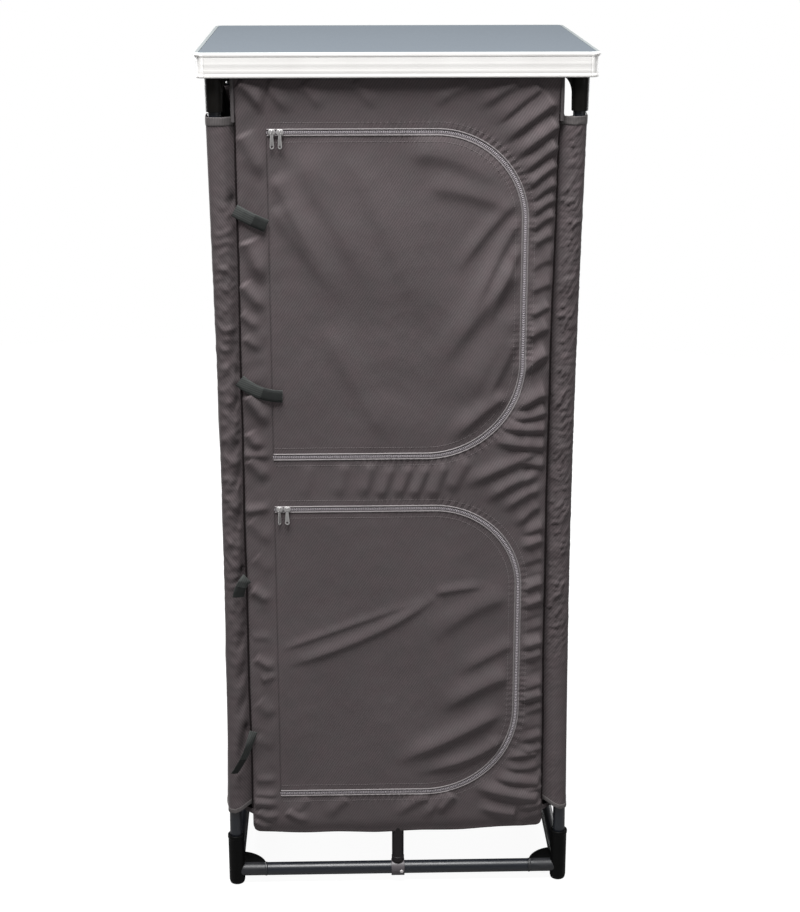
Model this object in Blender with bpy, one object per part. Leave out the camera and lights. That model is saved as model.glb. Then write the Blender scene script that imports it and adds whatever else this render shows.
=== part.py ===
"""Camp wardrobe: a plug-together tube frame with a lift-off table top and a zipped fabric cover.

Metres, +Z up. The front faces -Y, +X is to the right seen from the front, and the origin is on
the floor under the middle of the table top.
"""

import math

import bmesh
import bpy
import numpy as np
from mathutils import Matrix, Vector

# Overall sizes
TOP_WIDTH = 0.600
TOP_DEPTH = 0.500
TOTAL_HEIGHT = 1.385

# Clearance between pieces that touch
GAP = 0.0003

# Table top: a board in a ribbed aluminium edge with moulded corner caps
EDGE_HEIGHT = 0.037
EDGE_LIP_DEPTH = 0.0070
EDGE_LIP_THICKNESS = 0.0012
EDGE_WALL = 0.0030
EDGE_BEAD_HEIGHT = 0.0050
EDGE_WAIST = 0.0014
EDGE_FLANGE_DEPTH = 0.0090
EDGE_FLANGE_THICKNESS = 0.0010
EDGE_FOOT_DEPTH = 0.0050
CORNER_CAP_RADIUS = 0.0150
CORNER_CAP_STEPS = 6
BOARD_THICKNESS = 0.0155

# Frame tubes and mouldings
LEG_INSET_X = 0.0275
LEG_INSET_Y = 0.0255
LEG_RADIUS = 0.0100
BAR_RADIUS = 0.0110
TUBE_WALL = 0.0012
TUBE_SIDES = 14
SOCKET_RADIUS = 0.0133
SOCKET_LIP_RADIUS = 0.0140
SOCKET_LIP_HEIGHT = 0.0060
TOP_SOCKET_DROP = 0.0515
BOTTOM_SOCKET_TOP = 0.0925
BOTTOM_SOCKET_FLOOR = 0.0380
BOTTOM_BAR_HEIGHT = 0.0245
ARM_LENGTH = 0.0515
SPIGOT_LENGTH = 0.0300
FOOT_FLAT_RADIUS = 0.0080
FOOT_ROUND_HEIGHT = 0.0075
WEB_REACH = 0.0500
WEB_THICKNESS = 0.0120
GUSSET_REACH = 0.0290
GUSSET_DROP = 0.0288
GUSSET_THICKNESS = 0.0080
GUSSET_HOLLOW_SHARE = 0.75

# Centre props under the floor board
PROP_RADIUS = 0.0105
SADDLE_WIDTH = 0.0220
SADDLE_WALL = 0.0028
SADDLE_OPENING = math.radians(70)
SADDLE_STEPS = 14

# Boards inside
BASE_BOARD_HEIGHT = 0.1300
MIDDLE_SHELF_HEIGHT = 0.7150
SHELF_THICKNESS = 0.0060
SHELF_CORNER_CUT = 0.0480

# Hanging rail
RAIL_RADIUS = 0.0080
RAIL_DROP = 0.0290
RAIL_INSET = 0.0120
RAIL_CLIP_WIDTH = 0.0180
RAIL_CUP_WALL = 0.0022
RAIL_CLIP_OPENING = math.radians(120)
RAIL_CLIP_STEPS = 12

# Cover
CLOTH = 0.0020
SEAM_INSET = 0.0300
SLEEVE_TOP_DROP = 0.0930
SLEEVE_HEM = 0.1370
SLEEVE_HEM_RISE = 0.0150
SLEEVE_STEPS = 6
SIDE_WALL_START = 0.0400
SIDE_TOP_DIP = 0.0500
SIDE_ROWS = 16
FRONT_HEM = 0.0975
FRONT_HEM_DIP = 0.0060
PANEL_OVERLAP_ON_BAR = 0.0020

# Doors and zips
HINGE_STRIP = 0.0475
ZIP_STRIP = 0.0490
UPPER_ZIP_TOP_DROP = 0.1180
UPPER_ZIP_ABOVE_SHELF = 0.0460
LOWER_ZIP_BELOW_SHELF = 0.0410
LOWER_ZIP_ABOVE_BASE = 0.0435
DOOR_TOP_RADIUS = 0.1350
DOOR_BOTTOM_RADIUS = 0.1500
ZIP_HALF_WIDTH = 0.0050
ZIP_TEETH_WIDTH = 0.0022
ZIP_TEETH_HEIGHT = 0.0008
ZIP_CURVE_STEPS = 8
HINGE_STAND_OFF = 0.0040

# Zip sliders and pulls
SLIDER_WIDTH = 0.0105
SLIDER_LENGTH = 0.0100
SLIDER_PLATE = 0.0016
SLIDER_PITCH = 0.0120
SLIDER_EAR = 0.0008
PULL_PIN_RADIUS = 0.0007
PULL_PIN_STAND_OFF = 0.0024
PULL_LENGTH = 0.0240
PULL_THICKNESS = 0.0010
PULL_HOLE_RADIUS = 0.0018

# Tie straps
STRAP_WIDTH = 0.0200
STRAP_THICKNESS = 0.0014
STRAP_LIFT = 0.0045
STRAP_TILT = 0.0015
STRAP_SEAM_INSET = 0.0025
STRAP_1_DROP = 0.1150
STRAP_2_RISE = 0.1260
STRAP_3_DROP = 0.1140
STRAP_4_RISE = 0.1165

# Folds of the cloth
HELD_WIDTH = 0.0140
FAN_FOLDS = 4
FAN_PITCH = 0.0350
FAN_LENGTH_X = 0.0825
FAN_HEIGHT = 0.0045
SEAM_FOLDS_UPPER = 5
SEAM_PITCH_UPPER = 0.0360
SEAM_FOLDS_LOWER = 9
SEAM_PITCH_LOWER = 0.0500
SEAM_FOLD_WIDTH = 0.0100
SEAM_FOLD_HEIGHT = 0.0040
BAND_FOLDS = 5
BAND_PITCH = 0.0420
BAND_FOLD_HEIGHT = 0.0030
STRIP_FOLDS = 8
STRIP_FOLD_DROP = 0.0450
STRIP_FOLD_HEIGHT = 0.0035
SKIRT_FOLDS = 4
SKIRT_PITCH = 0.0900
SKIRT_FOLD_HEIGHT = 0.0040
SMALL_FOLD_WIDTH = 0.0120
DOOR_FOLD_WIDTH = 0.0180
DOOR_FOLD_HEIGHT = 0.0040
BROAD_FOLD_WIDTH = 0.0280
BROAD_FOLD_HEIGHT = 0.0052
SLEEVE_LONG_WAVE = 0.1150
SLEEVE_SHORT_WAVE = 0.0720
SLEEVE_SWELL = 0.0007
BACK_WAVE = 0.3100
BACK_SWELL = 0.0030

# Heights and places that follow from the sizes above
EDGE_BOTTOM = TOTAL_HEIGHT - EDGE_HEIGHT
BOARD_TOP = TOTAL_HEIGHT - EDGE_LIP_THICKNESS - GAP
BOARD_BOTTOM = BOARD_TOP - BOARD_THICKNESS
TOP_BAR_HEIGHT = BOARD_BOTTOM - GAP - BAR_RADIUS
LEG_X = TOP_WIDTH / 2 - LEG_INSET_X
LEG_Y = TOP_DEPTH / 2 - LEG_INSET_Y
LEG_BORE = LEG_RADIUS + GAP
PANEL_EDGE_X = LEG_X - SEAM_INSET
PANEL_FACE_Y = LEG_Y + BAR_RADIUS + GAP + CLOTH
SLEEVE_RADIUS = PANEL_FACE_Y - LEG_Y
PANEL_TOP = TOP_BAR_HEIGHT + PANEL_OVERLAP_ON_BAR
SLEEVE_TOP = TOTAL_HEIGHT - SLEEVE_TOP_DROP
HINGE_X = HINGE_STRIP - PANEL_EDGE_X
HINGE_Y = -PANEL_FACE_Y - HINGE_STAND_OFF
DOOR_FREE_EDGE_X = PANEL_EDGE_X - ZIP_STRIP
UPPER_ZIP_TOP = TOTAL_HEIGHT - UPPER_ZIP_TOP_DROP
UPPER_ZIP_BOTTOM = MIDDLE_SHELF_HEIGHT + UPPER_ZIP_ABOVE_SHELF
LOWER_ZIP_TOP = MIDDLE_SHELF_HEIGHT - LOWER_ZIP_BELOW_SHELF
LOWER_ZIP_BOTTOM = BASE_BOARD_HEIGHT + LOWER_ZIP_ABOVE_BASE


def material(name, colour, roughness, metallic=0.0):
    """A Principled material from a linear colour."""
    made = bpy.data.materials.get(name) or bpy.data.materials.new(name)
    made.use_nodes = True
    shader = made.node_tree.nodes["Principled BSDF"]
    shader.inputs["Base Color"].default_value = (*colour, 1.0)
    shader.inputs["Roughness"].default_value = roughness
    shader.inputs["Metallic"].default_value = metallic
    return made


def white_aluminium():
    return material("white_coated_aluminium", (0.86, 0.85, 0.83), 0.35)


def white_plastic():
    return material("white_moulded_plastic", (0.84, 0.83, 0.81), 0.45)


def grey_laminate():
    return material("grey_laminate_board", (0.31, 0.35, 0.40), 0.40)


def black_plastic():
    return material("black_moulded_plastic", (0.012, 0.012, 0.011), 0.45)


def dark_tube():
    return material("dark_coated_steel_tube", (0.020, 0.022, 0.027), 0.38)


def cover_fabric():
    return material("grey_brown_polyester", (0.105, 0.090, 0.093), 0.85)


def board_fabric():
    return material("dark_covered_board", (0.060, 0.052, 0.054), 0.85)


def zip_tape():
    return material("grey_zip_tape", (0.24, 0.22, 0.22), 0.60)


def zip_metal():
    return material("grey_zinc", (0.34, 0.33, 0.33), 0.40, 0.9)


def black_webbing():
    return material("black_webbing", (0.035, 0.037, 0.036), 0.80)


def add(name, vertices, faces, look, sharp=40):
    """An object from closed geometry, with its faces turned outwards and its round parts smooth."""
    bm = bmesh.new()
    made = [bm.verts.new(v) for v in vertices]
    for face in faces:
        bm.faces.new([made[i] for i in face])
    loose = [v for v in made if not v.link_faces]
    bmesh.ops.delete(bm, geom=loose, context="VERTS")
    bmesh.ops.recalc_face_normals(bm, faces=bm.faces)
    mesh = bpy.data.meshes.new(name)
    bm.to_mesh(mesh)
    bm.free()
    mesh.shade_smooth()
    mesh.set_sharp_from_angle(angle=math.radians(sharp))
    mesh.materials.append(look)
    obj = bpy.data.objects.new(name, mesh)
    bpy.context.scene.collection.objects.link(obj)
    return obj


def turned(name, profile, look, sides=TUBE_SIDES, axis="Z", at=(0, 0, 0), closed=False):
    """A profile of (radius, height) points turned round an axis.

    The profile ends on the axis at both ends, or it is a closed ring when closed is set.
    """
    vertices = []
    rings = []
    for radius, height in profile:
        if radius == 0:
            rings.append([len(vertices)])
            vertices.append((0, 0, height))
            continue
        rings.append(list(range(len(vertices), len(vertices) + sides)))
        for k in range(sides):
            angle = 2 * math.pi * (k + 0.5) / sides
            vertices.append((radius * math.cos(angle), radius * math.sin(angle), height))
    pairs = list(zip(rings, rings[1:]))
    if closed:
        pairs.append((rings[-1], rings[0]))
    faces = []
    for low, high in pairs:
        for k in range(sides):
            n = (k + 1) % sides
            if len(low) == 1:
                faces.append((low[0], high[k], high[n]))
            elif len(high) == 1:
                faces.append((low[k], low[n], high[0]))
            else:
                faces.append((low[k], low[n], high[n], high[k]))
    turn = {
        "X": Matrix.Rotation(math.pi / 2, 3, "Y"),
        "Y": Matrix.Rotation(-math.pi / 2, 3, "X"),
        "Z": Matrix.Identity(3),
    }[axis]
    placed = [turn @ Vector(v) + Vector(at) for v in vertices]
    return add(name, placed, faces, look)


def rod(name, radius, start, end, look, axis, at, sides=TUBE_SIDES):
    """A solid round bar from start to end along an axis through the point at."""
    profile = [(0, start), (radius, start), (radius, end), (0, end)]
    return turned(name, profile, look, sides, axis, at)


def tube(name, radius, start, end, look, axis, at, sides=TUBE_SIDES):
    """A tube, open at both ends, from start to end along an axis."""
    inner = radius - TUBE_WALL
    profile = [(radius, start), (radius, end), (inner, end), (inner, start)]
    return turned(name, profile, look, sides, axis, at, closed=True)


def prism(name, outline, low, high, look, plane="XY", sharp=40):
    """A flat outline carried from low to high along the third axis."""
    place = {
        "XY": lambda a, b, c: (a, b, c),
        "XZ": lambda a, b, c: (a, c, b),
        "YZ": lambda a, b, c: (c, a, b),
    }[plane]
    count = len(outline)
    vertices = [place(a, b, low) for a, b in outline] + [place(a, b, high) for a, b in outline]
    faces = [tuple(range(count)), tuple(range(count, 2 * count))]
    for k in range(count):
        n = (k + 1) % count
        faces.append((k, n, n + count, k + count))
    return add(name, vertices, faces, look, sharp)


def thick_sheet(name, outer, inner, look, keep=None):
    """A closed sheet between two grids of points, each of shape columns by rows by 3.

    keep says which cells of the grid are cloth, and every free edge gets a wall.
    """
    columns, rows = outer.shape[:2]
    if keep is None:
        keep = np.ones((columns - 1, rows - 1), bool)
    vertices = [tuple(v) for v in outer.reshape(-1, 3)] + [tuple(v) for v in inner.reshape(-1, 3)]
    back = columns * rows
    faces = []
    edges = set()
    for i, j in zip(*np.nonzero(keep)):
        a = int(i) * rows + int(j)
        quad = (a, a + rows, a + rows + 1, a + 1)
        faces.append(quad)
        faces.append(tuple(k + back for k in reversed(quad)))
        edges.update(zip(quad, quad[1:] + quad[:1]))
    for start, end in sorted(edges):
        if (end, start) not in edges:
            faces.append((start, start + back, end + back, end))
    return add(name, vertices, faces, look, sharp=60)


def hide(obj):
    """Marks an object as a cutter or as a part of another object."""
    obj.hide_render = True
    obj.display_type = "WIRE"


def combine(obj, others, operation):
    """Adds or takes away each of the other shapes, which stay as hidden guides."""
    for other in others:
        hide(other)
        change = obj.modifiers.new(other.name, "BOOLEAN")
        change.operation = operation
        change.solver = "EXACT"
        change.object = other
    return obj


def arc(centre, radius, start, end, steps):
    """Points on an arc, with angles in radians."""
    return [
        (
            centre[0] + radius * math.cos(start + (end - start) * k / steps),
            centre[1] + radius * math.sin(start + (end - start) * k / steps),
        )
        for k in range(steps + 1)
    ]


def corner_signs():
    """The four corners by name, with the signs of their x and y."""
    return {
        "front_left": (-1, -1),
        "front_right": (1, -1),
        "back_left": (-1, 1),
        "back_right": (1, 1),
    }


# Table top


def edge_section():
    """The edge's section as (depth in from the outer face, height)."""
    top = TOTAL_HEIGHT
    under_lip = top - EDGE_LIP_THICKNESS
    flange = BOARD_BOTTOM - GAP
    under_flange = flange - EDGE_FLANGE_THICKNESS
    foot = EDGE_BOTTOM + EDGE_FLANGE_THICKNESS
    return [
        (EDGE_LIP_DEPTH, top),
        (EDGE_LIP_THICKNESS, top),
        (0, top - EDGE_LIP_THICKNESS),
        (0, top - EDGE_BEAD_HEIGHT),
        (EDGE_WAIST, top - EDGE_BEAD_HEIGHT - EDGE_WAIST),
        (EDGE_WAIST, EDGE_BOTTOM + EDGE_BEAD_HEIGHT + EDGE_WAIST),
        (0, EDGE_BOTTOM + EDGE_BEAD_HEIGHT),
        (0, EDGE_BOTTOM + EDGE_FLANGE_THICKNESS),
        (EDGE_FLANGE_THICKNESS, EDGE_BOTTOM),
        (EDGE_FOOT_DEPTH, EDGE_BOTTOM),
        (EDGE_FOOT_DEPTH, foot),
        (EDGE_WALL, foot),
        (EDGE_WALL, under_flange),
        (EDGE_FLANGE_DEPTH, under_flange),
        (EDGE_FLANGE_DEPTH, flange),
        (EDGE_WALL, flange),
        (EDGE_WALL, under_lip),
        (EDGE_LIP_DEPTH, under_lip),
    ]


def table_edges():
    """Four straight lengths of the edge, between the corner caps."""
    made = []
    reach_x = TOP_WIDTH / 2 - CORNER_CAP_RADIUS - GAP
    reach_y = TOP_DEPTH / 2 - CORNER_CAP_RADIUS - GAP
    for name, sign in (("front", -1), ("back", 1)):
        outline = [(sign * (TOP_DEPTH / 2 - depth), height) for depth, height in edge_section()]
        node = f"table_edge_{name}"
        made.append(prism(node, outline, -reach_x, reach_x, white_aluminium(), "YZ"))
    for name, sign in (("left", -1), ("right", 1)):
        outline = [(sign * (TOP_WIDTH / 2 - depth), height) for depth, height in edge_section()]
        node = f"table_edge_{name}"
        made.append(prism(node, outline, -reach_y, reach_y, white_aluminium(), "XZ"))
    return made


def table_corner_cap(name, side_x, side_y):
    """The edge's section carried a quarter turn round the corner."""
    centre_x = side_x * (TOP_WIDTH / 2 - CORNER_CAP_RADIUS)
    centre_y = side_y * (TOP_DEPTH / 2 - CORNER_CAP_RADIUS)
    section = edge_section()
    vertices = []
    for step in range(CORNER_CAP_STEPS + 1):
        angle = math.pi / 2 * step / CORNER_CAP_STEPS
        for depth, height in section:
            radius = CORNER_CAP_RADIUS - depth
            x = centre_x + side_x * radius * math.cos(angle)
            y = centre_y + side_y * radius * math.sin(angle)
            vertices.append((x, y, height))
    count = len(section)
    faces = [tuple(range(count)), tuple(range(CORNER_CAP_STEPS * count, len(vertices)))]
    for step in range(CORNER_CAP_STEPS):
        for k in range(count):
            n = (k + 1) % count
            a = step * count
            faces.append((a + k, a + n, a + count + n, a + count + k))
    return add(name, vertices, faces, white_plastic())


def rounded_outline(inset):
    """The table top's outline moved inwards by inset, with its corners rounded."""
    centre_x = TOP_WIDTH / 2 - CORNER_CAP_RADIUS
    centre_y = TOP_DEPTH / 2 - CORNER_CAP_RADIUS
    outline = []
    for quarter, (side_x, side_y) in enumerate(((1, 1), (-1, 1), (-1, -1), (1, -1))):
        start = quarter * math.pi / 2
        centre = (side_x * centre_x, side_y * centre_y)
        radius = CORNER_CAP_RADIUS - inset
        outline += arc(centre, radius, start, start + math.pi / 2, CORNER_CAP_STEPS // 2)
    return outline


def table_board():
    """The laminate board: its edge lies under the lip and its face is flush with it."""
    wide = rounded_outline(EDGE_WALL + GAP)
    narrow = rounded_outline(EDGE_LIP_DEPTH + GAP)
    count = len(wide)
    levels = ((wide, BOARD_BOTTOM), (wide, BOARD_TOP), (narrow, BOARD_TOP), (narrow, TOTAL_HEIGHT))
    vertices = [(x, y, height) for outline, height in levels for x, y in outline]
    faces = [tuple(range(count)), tuple(range(3 * count, 4 * count))]
    for level in range(3):
        for k in range(count):
            n = (k + 1) % count
            a = level * count
            faces.append((a + k, a + n, a + count + n, a + count + k))
    return add("table_board", vertices, faces, grey_laminate())


# Frame


def legs():
    low = BOTTOM_SOCKET_FLOOR + GAP
    high = TOP_BAR_HEIGHT - BAR_RADIUS - GAP
    for name, (side_x, side_y) in corner_signs().items():
        at = (side_x * LEG_X, side_y * LEG_Y, 0)
        tube(f"leg_{name}", LEG_RADIUS, low, high, dark_tube(), "Z", at)


def bars(level, height):
    """Four bars at one height, whose open ends slide over the mouldings' spigots."""
    reach_x = LEG_X - ARM_LENGTH - GAP
    reach_y = LEG_Y - ARM_LENGTH - GAP
    for name, side in (("front", -1), ("back", 1)):
        at = (0, side * LEG_Y, height)
        tube(f"{level}_bar_{name}", BAR_RADIUS, -reach_x, reach_x, dark_tube(), "X", at)
    for name, side in (("left", -1), ("right", 1)):
        at = (side * LEG_X, 0, height)
        tube(f"{level}_bar_{name}", BAR_RADIUS, -reach_y, reach_y, dark_tube(), "Y", at)


def arms(name, side_x, side_y, height):
    """The two arms of a moulding with the spigots that the bars slide over."""
    at = (side_x * LEG_X, side_y * LEG_Y, height)
    spigot = BAR_RADIUS - TUBE_WALL - GAP
    made = []
    for axis, side in (("X", -side_x), ("Y", -side_y)):
        ends = [
            (0, 0),
            (BAR_RADIUS, 0),
            (BAR_RADIUS, side * ARM_LENGTH),
            (spigot, side * ARM_LENGTH),
            (spigot, side * (ARM_LENGTH + SPIGOT_LENGTH)),
            (0, side * (ARM_LENGTH + SPIGOT_LENGTH)),
        ]
        made.append(turned(f"{name}_arm_{axis}", ends, black_plastic(), TUBE_SIDES, axis, at))
    return made


def bottom_corner(name, side_x, side_y):
    """The foot moulding: a leg socket with a rounded foot, two arms and a web between them."""
    node = f"bottom_corner_{name}"
    at = (side_x * LEG_X, side_y * LEG_Y, 0)
    lip_start = BOTTOM_SOCKET_TOP - SOCKET_LIP_HEIGHT
    rim = SOCKET_LIP_RADIUS - SOCKET_RADIUS
    round_radius = FOOT_FLAT_RADIUS + (SOCKET_RADIUS - FOOT_FLAT_RADIUS) * math.sin(math.pi / 4)
    profile = [
        (0, 0),
        (FOOT_FLAT_RADIUS, 0),
        (round_radius, FOOT_ROUND_HEIGHT * (1 - math.cos(math.pi / 4))),
        (SOCKET_RADIUS, FOOT_ROUND_HEIGHT),
        (SOCKET_RADIUS, lip_start),
        (SOCKET_LIP_RADIUS, lip_start + rim),
        (SOCKET_LIP_RADIUS, BOTTOM_SOCKET_TOP),
        (0, BOTTOM_SOCKET_TOP),
    ]
    body = turned(node, profile, black_plastic(), TUBE_SIDES, "Z", at)
    outline = [(at[0], at[1])]
    for k in range(7):
        angle = math.pi / 2 * k / 6
        x = at[0] - side_x * WEB_REACH * math.cos(angle)
        y = at[1] - side_y * WEB_REACH * math.sin(angle)
        outline.append((x, y))
    web_low = BOTTOM_BAR_HEIGHT - WEB_THICKNESS / 2
    web = prism(f"{node}_web", outline, web_low, web_low + WEB_THICKNESS, black_plastic())
    combine(body, arms(node, side_x, side_y, BOTTOM_BAR_HEIGHT) + [web], "UNION")
    above = BOTTOM_SOCKET_TOP + SOCKET_LIP_HEIGHT
    bore = rod(f"{node}_bore", LEG_BORE, BOTTOM_SOCKET_FLOOR, above, black_plastic(), "Z", at)
    return combine(body, [bore], "DIFFERENCE")


def gusset_outline(centre, inward, low, high):
    """A hollow-edged corner brace between a socket and an arm, as (across, height)."""
    start = centre + inward * (SOCKET_RADIUS - 2 * GAP)
    outline = [(start, high), (start, low)]
    span = GUSSET_REACH - SOCKET_RADIUS
    for k in range(1, 6):
        angle = math.pi / 2 * k / 5
        across = centre + inward * (SOCKET_RADIUS + span * (1 - math.cos(angle)))
        outline.append((across, low + (high - low) * GUSSET_HOLLOW_SHARE * math.sin(angle)))
    outline.append((centre + inward * GUSSET_REACH, high))
    return outline


def top_corner(name, side_x, side_y):
    """The upper moulding: a leg socket that points down, two arms and two braces."""
    node = f"top_corner_{name}"
    at = (side_x * LEG_X, side_y * LEG_Y, 0)
    low = EDGE_BOTTOM - TOP_SOCKET_DROP
    high = TOP_BAR_HEIGHT + BAR_RADIUS
    draft = SOCKET_LIP_RADIUS - SOCKET_RADIUS
    profile = [
        (0, low),
        (SOCKET_RADIUS - draft, low),
        (SOCKET_RADIUS, EDGE_BOTTOM),
        (SOCKET_RADIUS, high - draft),
        (SOCKET_RADIUS - draft, high),
        (0, high),
    ]
    body = turned(node, profile, black_plastic(), TUBE_SIDES, "Z", at)
    brace_low = EDGE_BOTTOM - GUSSET_DROP
    brace_high = TOP_BAR_HEIGHT - BAR_RADIUS / 2
    half = GUSSET_THICKNESS / 2
    across = gusset_outline(at[0], -side_x, brace_low, brace_high)
    along = gusset_outline(at[1], -side_y, brace_low, brace_high)
    looks = black_plastic()
    braces = [
        prism(f"{node}_brace_x", across, at[1] - half, at[1] + half, looks, "XZ"),
        prism(f"{node}_brace_y", along, at[0] - half, at[0] + half, looks, "YZ"),
    ]
    combine(body, arms(node, side_x, side_y, TOP_BAR_HEIGHT) + braces, "UNION")
    ceiling = TOP_BAR_HEIGHT - BAR_RADIUS
    bore = rod(f"{node}_bore", LEG_BORE, low - SOCKET_LIP_HEIGHT, ceiling, looks, "Z", at)
    return combine(body, [bore], "DIFFERENCE")


def saddle_outline(centre, inner, outer, opening):
    """A ring with a gap at its lowest point, in the plane across a bar."""
    start = -math.pi / 2 + opening / 2
    end = start + 2 * math.pi - opening
    ring = arc(centre, outer, start, end, SADDLE_STEPS)
    return ring + arc(centre, inner, end, start, SADDLE_STEPS)


def props():
    """A short post at the middle of the front and back bars, in a saddle clipped over each bar."""
    inner = BAR_RADIUS + GAP
    outer = inner + SADDLE_WALL
    half = SADDLE_WIDTH / 2
    for name, side in (("front", -1), ("back", 1)):
        centre = (side * LEG_Y, BOTTOM_BAR_HEIGHT)
        outline = saddle_outline(centre, inner, outer, SADDLE_OPENING)
        prism(f"{name}_prop_saddle", outline, -half, half, black_plastic(), "YZ")
        low = BOTTOM_BAR_HEIGHT + outer + GAP
        high = BASE_BOARD_HEIGHT - GAP
        at = (0, side * LEG_Y, 0)
        tube(f"{name}_prop", PROP_RADIUS, low, high, black_plastic(), "Z", at)


# Inside


def shelf(name, height):
    """A stiff board with its corners cut off, so that it passes inside the leg sleeves."""
    x = LEG_X + SLEEVE_RADIUS - CLOTH - GAP
    y = PANEL_FACE_Y - CLOTH - GAP
    cut = SHELF_CORNER_CUT
    outline = [
        (x - cut, -y),
        (x, -y + cut),
        (x, y - cut),
        (x - cut, y),
        (-x + cut, y),
        (-x, y - cut),
        (-x, -y + cut),
        (-x + cut, -y),
    ]
    return prism(name, outline, height, height + SHELF_THICKNESS, board_fabric())


def hanging_rail():
    """A tube across the upper compartment, hung from the side bars by two clips."""
    height = TOP_BAR_HEIGHT - RAIL_DROP
    reach = LEG_X - RAIL_INSET
    tube("hanging_rail", RAIL_RADIUS, -reach, reach, dark_tube(), "X", (0, 0, height))
    inner = BAR_RADIUS + GAP
    outer = inner + RAIL_CUP_WALL
    half = RAIL_CLIP_WIDTH / 2
    looks = black_plastic()
    for name, side in (("left", -1), ("right", 1)):
        node = f"rail_clip_{name}"
        centre = (side * LEG_X, TOP_BAR_HEIGHT)
        start = math.pi / 2 + RAIL_CLIP_OPENING / 2
        end = 5 * math.pi / 2 - RAIL_CLIP_OPENING / 2
        hook = arc(centre, outer, start, end, RAIL_CLIP_STEPS)
        hook += arc(centre, inner, end, start, RAIL_CLIP_STEPS)
        body = prism(node, hook, -half, half, looks, "XZ")
        lug = [
            (side * LEG_X, TOP_BAR_HEIGHT - inner - GAP),
            (side * (LEG_X - 2 * RAIL_INSET), TOP_BAR_HEIGHT - inner - GAP),
            (side * (LEG_X - 2 * RAIL_INSET), height),
            (side * LEG_X, height),
        ]
        cup_radius = RAIL_RADIUS + GAP + RAIL_CUP_WALL
        at = (0, 0, height)
        ends = sorted((side * LEG_X, side * (LEG_X - 2 * RAIL_INSET)))
        plate = prism(f"{node}_lug", lug, -half / 2, half / 2, looks, "XZ")
        cup = rod(f"{node}_cup", cup_radius, *ends, looks, "X", at)
        combine(body, [plate, cup], "UNION")
        inner_end = side * (LEG_X - 3 * RAIL_INSET)
        cut_ends = sorted((inner_end, side * (reach + GAP)))
        bore = rod(f"{node}_bore", RAIL_RADIUS + GAP, *cut_ends, looks, "X", at)
        combine(body, [bore], "DIFFERENCE")


# Folds of the cover


def ridge(x, z, start, end, half_width, height):
    """A soft ridge of cloth along a line from start to end, each (x, z)."""
    dx = end[0] - start[0]
    dz = end[1] - start[1]
    length = math.hypot(dx, dz)
    along = ((x - start[0]) * dx + (z - start[1]) * dz) / length
    across = ((x - start[0]) * dz - (z - start[1]) * dx) / length
    past = np.maximum(np.maximum(-along, along - length), 0)
    return height * np.exp(-((across / half_width) ** 2) - (past / half_width) ** 2)


def zip_runs():
    """The top and bottom height of each door's zip."""
    return {
        "upper": (UPPER_ZIP_TOP, UPPER_ZIP_BOTTOM),
        "lower": (LOWER_ZIP_TOP, LOWER_ZIP_BOTTOM),
    }


def distance_to_zip(x, z, top, bottom):
    """How far a point is from the line of a zip, which is a D with round right-hand corners."""
    right = DOOR_FREE_EDGE_X
    radius = np.where(z > (top + bottom) / 2, DOOR_TOP_RADIUS, DOOR_BOTTOM_RADIUS)
    middle = (top + bottom) / 2
    qx = np.abs(x - HINGE_X) - (right - HINGE_X) + radius
    qz = np.abs(z - middle) - (top - bottom) / 2 + radius
    outside = np.hypot(np.maximum(qx, 0), np.maximum(qz, 0))
    return np.abs(outside + np.minimum(np.maximum(qx, qz), 0) - radius)


def stillness(x, z):
    """0 on the zips and hinge lines, where the cloth is stitched flat, rising to 1 away from them."""
    away = np.abs(x - HINGE_X)
    factor = 1 - np.exp(-((away / HELD_WIDTH) ** 2))
    for top, bottom in zip_runs().values():
        away = distance_to_zip(x, z, top, bottom)
        factor = factor * (1 - np.exp(-((away / HELD_WIDTH) ** 2)))
    return factor


def on_door(run, across, up):
    """A point on a door, given as shares of its width from the hinge and of its height."""
    top, bottom = run
    return (HINGE_X + across * (DOOR_FREE_EDGE_X - HINGE_X), bottom + up * (top - bottom))


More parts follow.
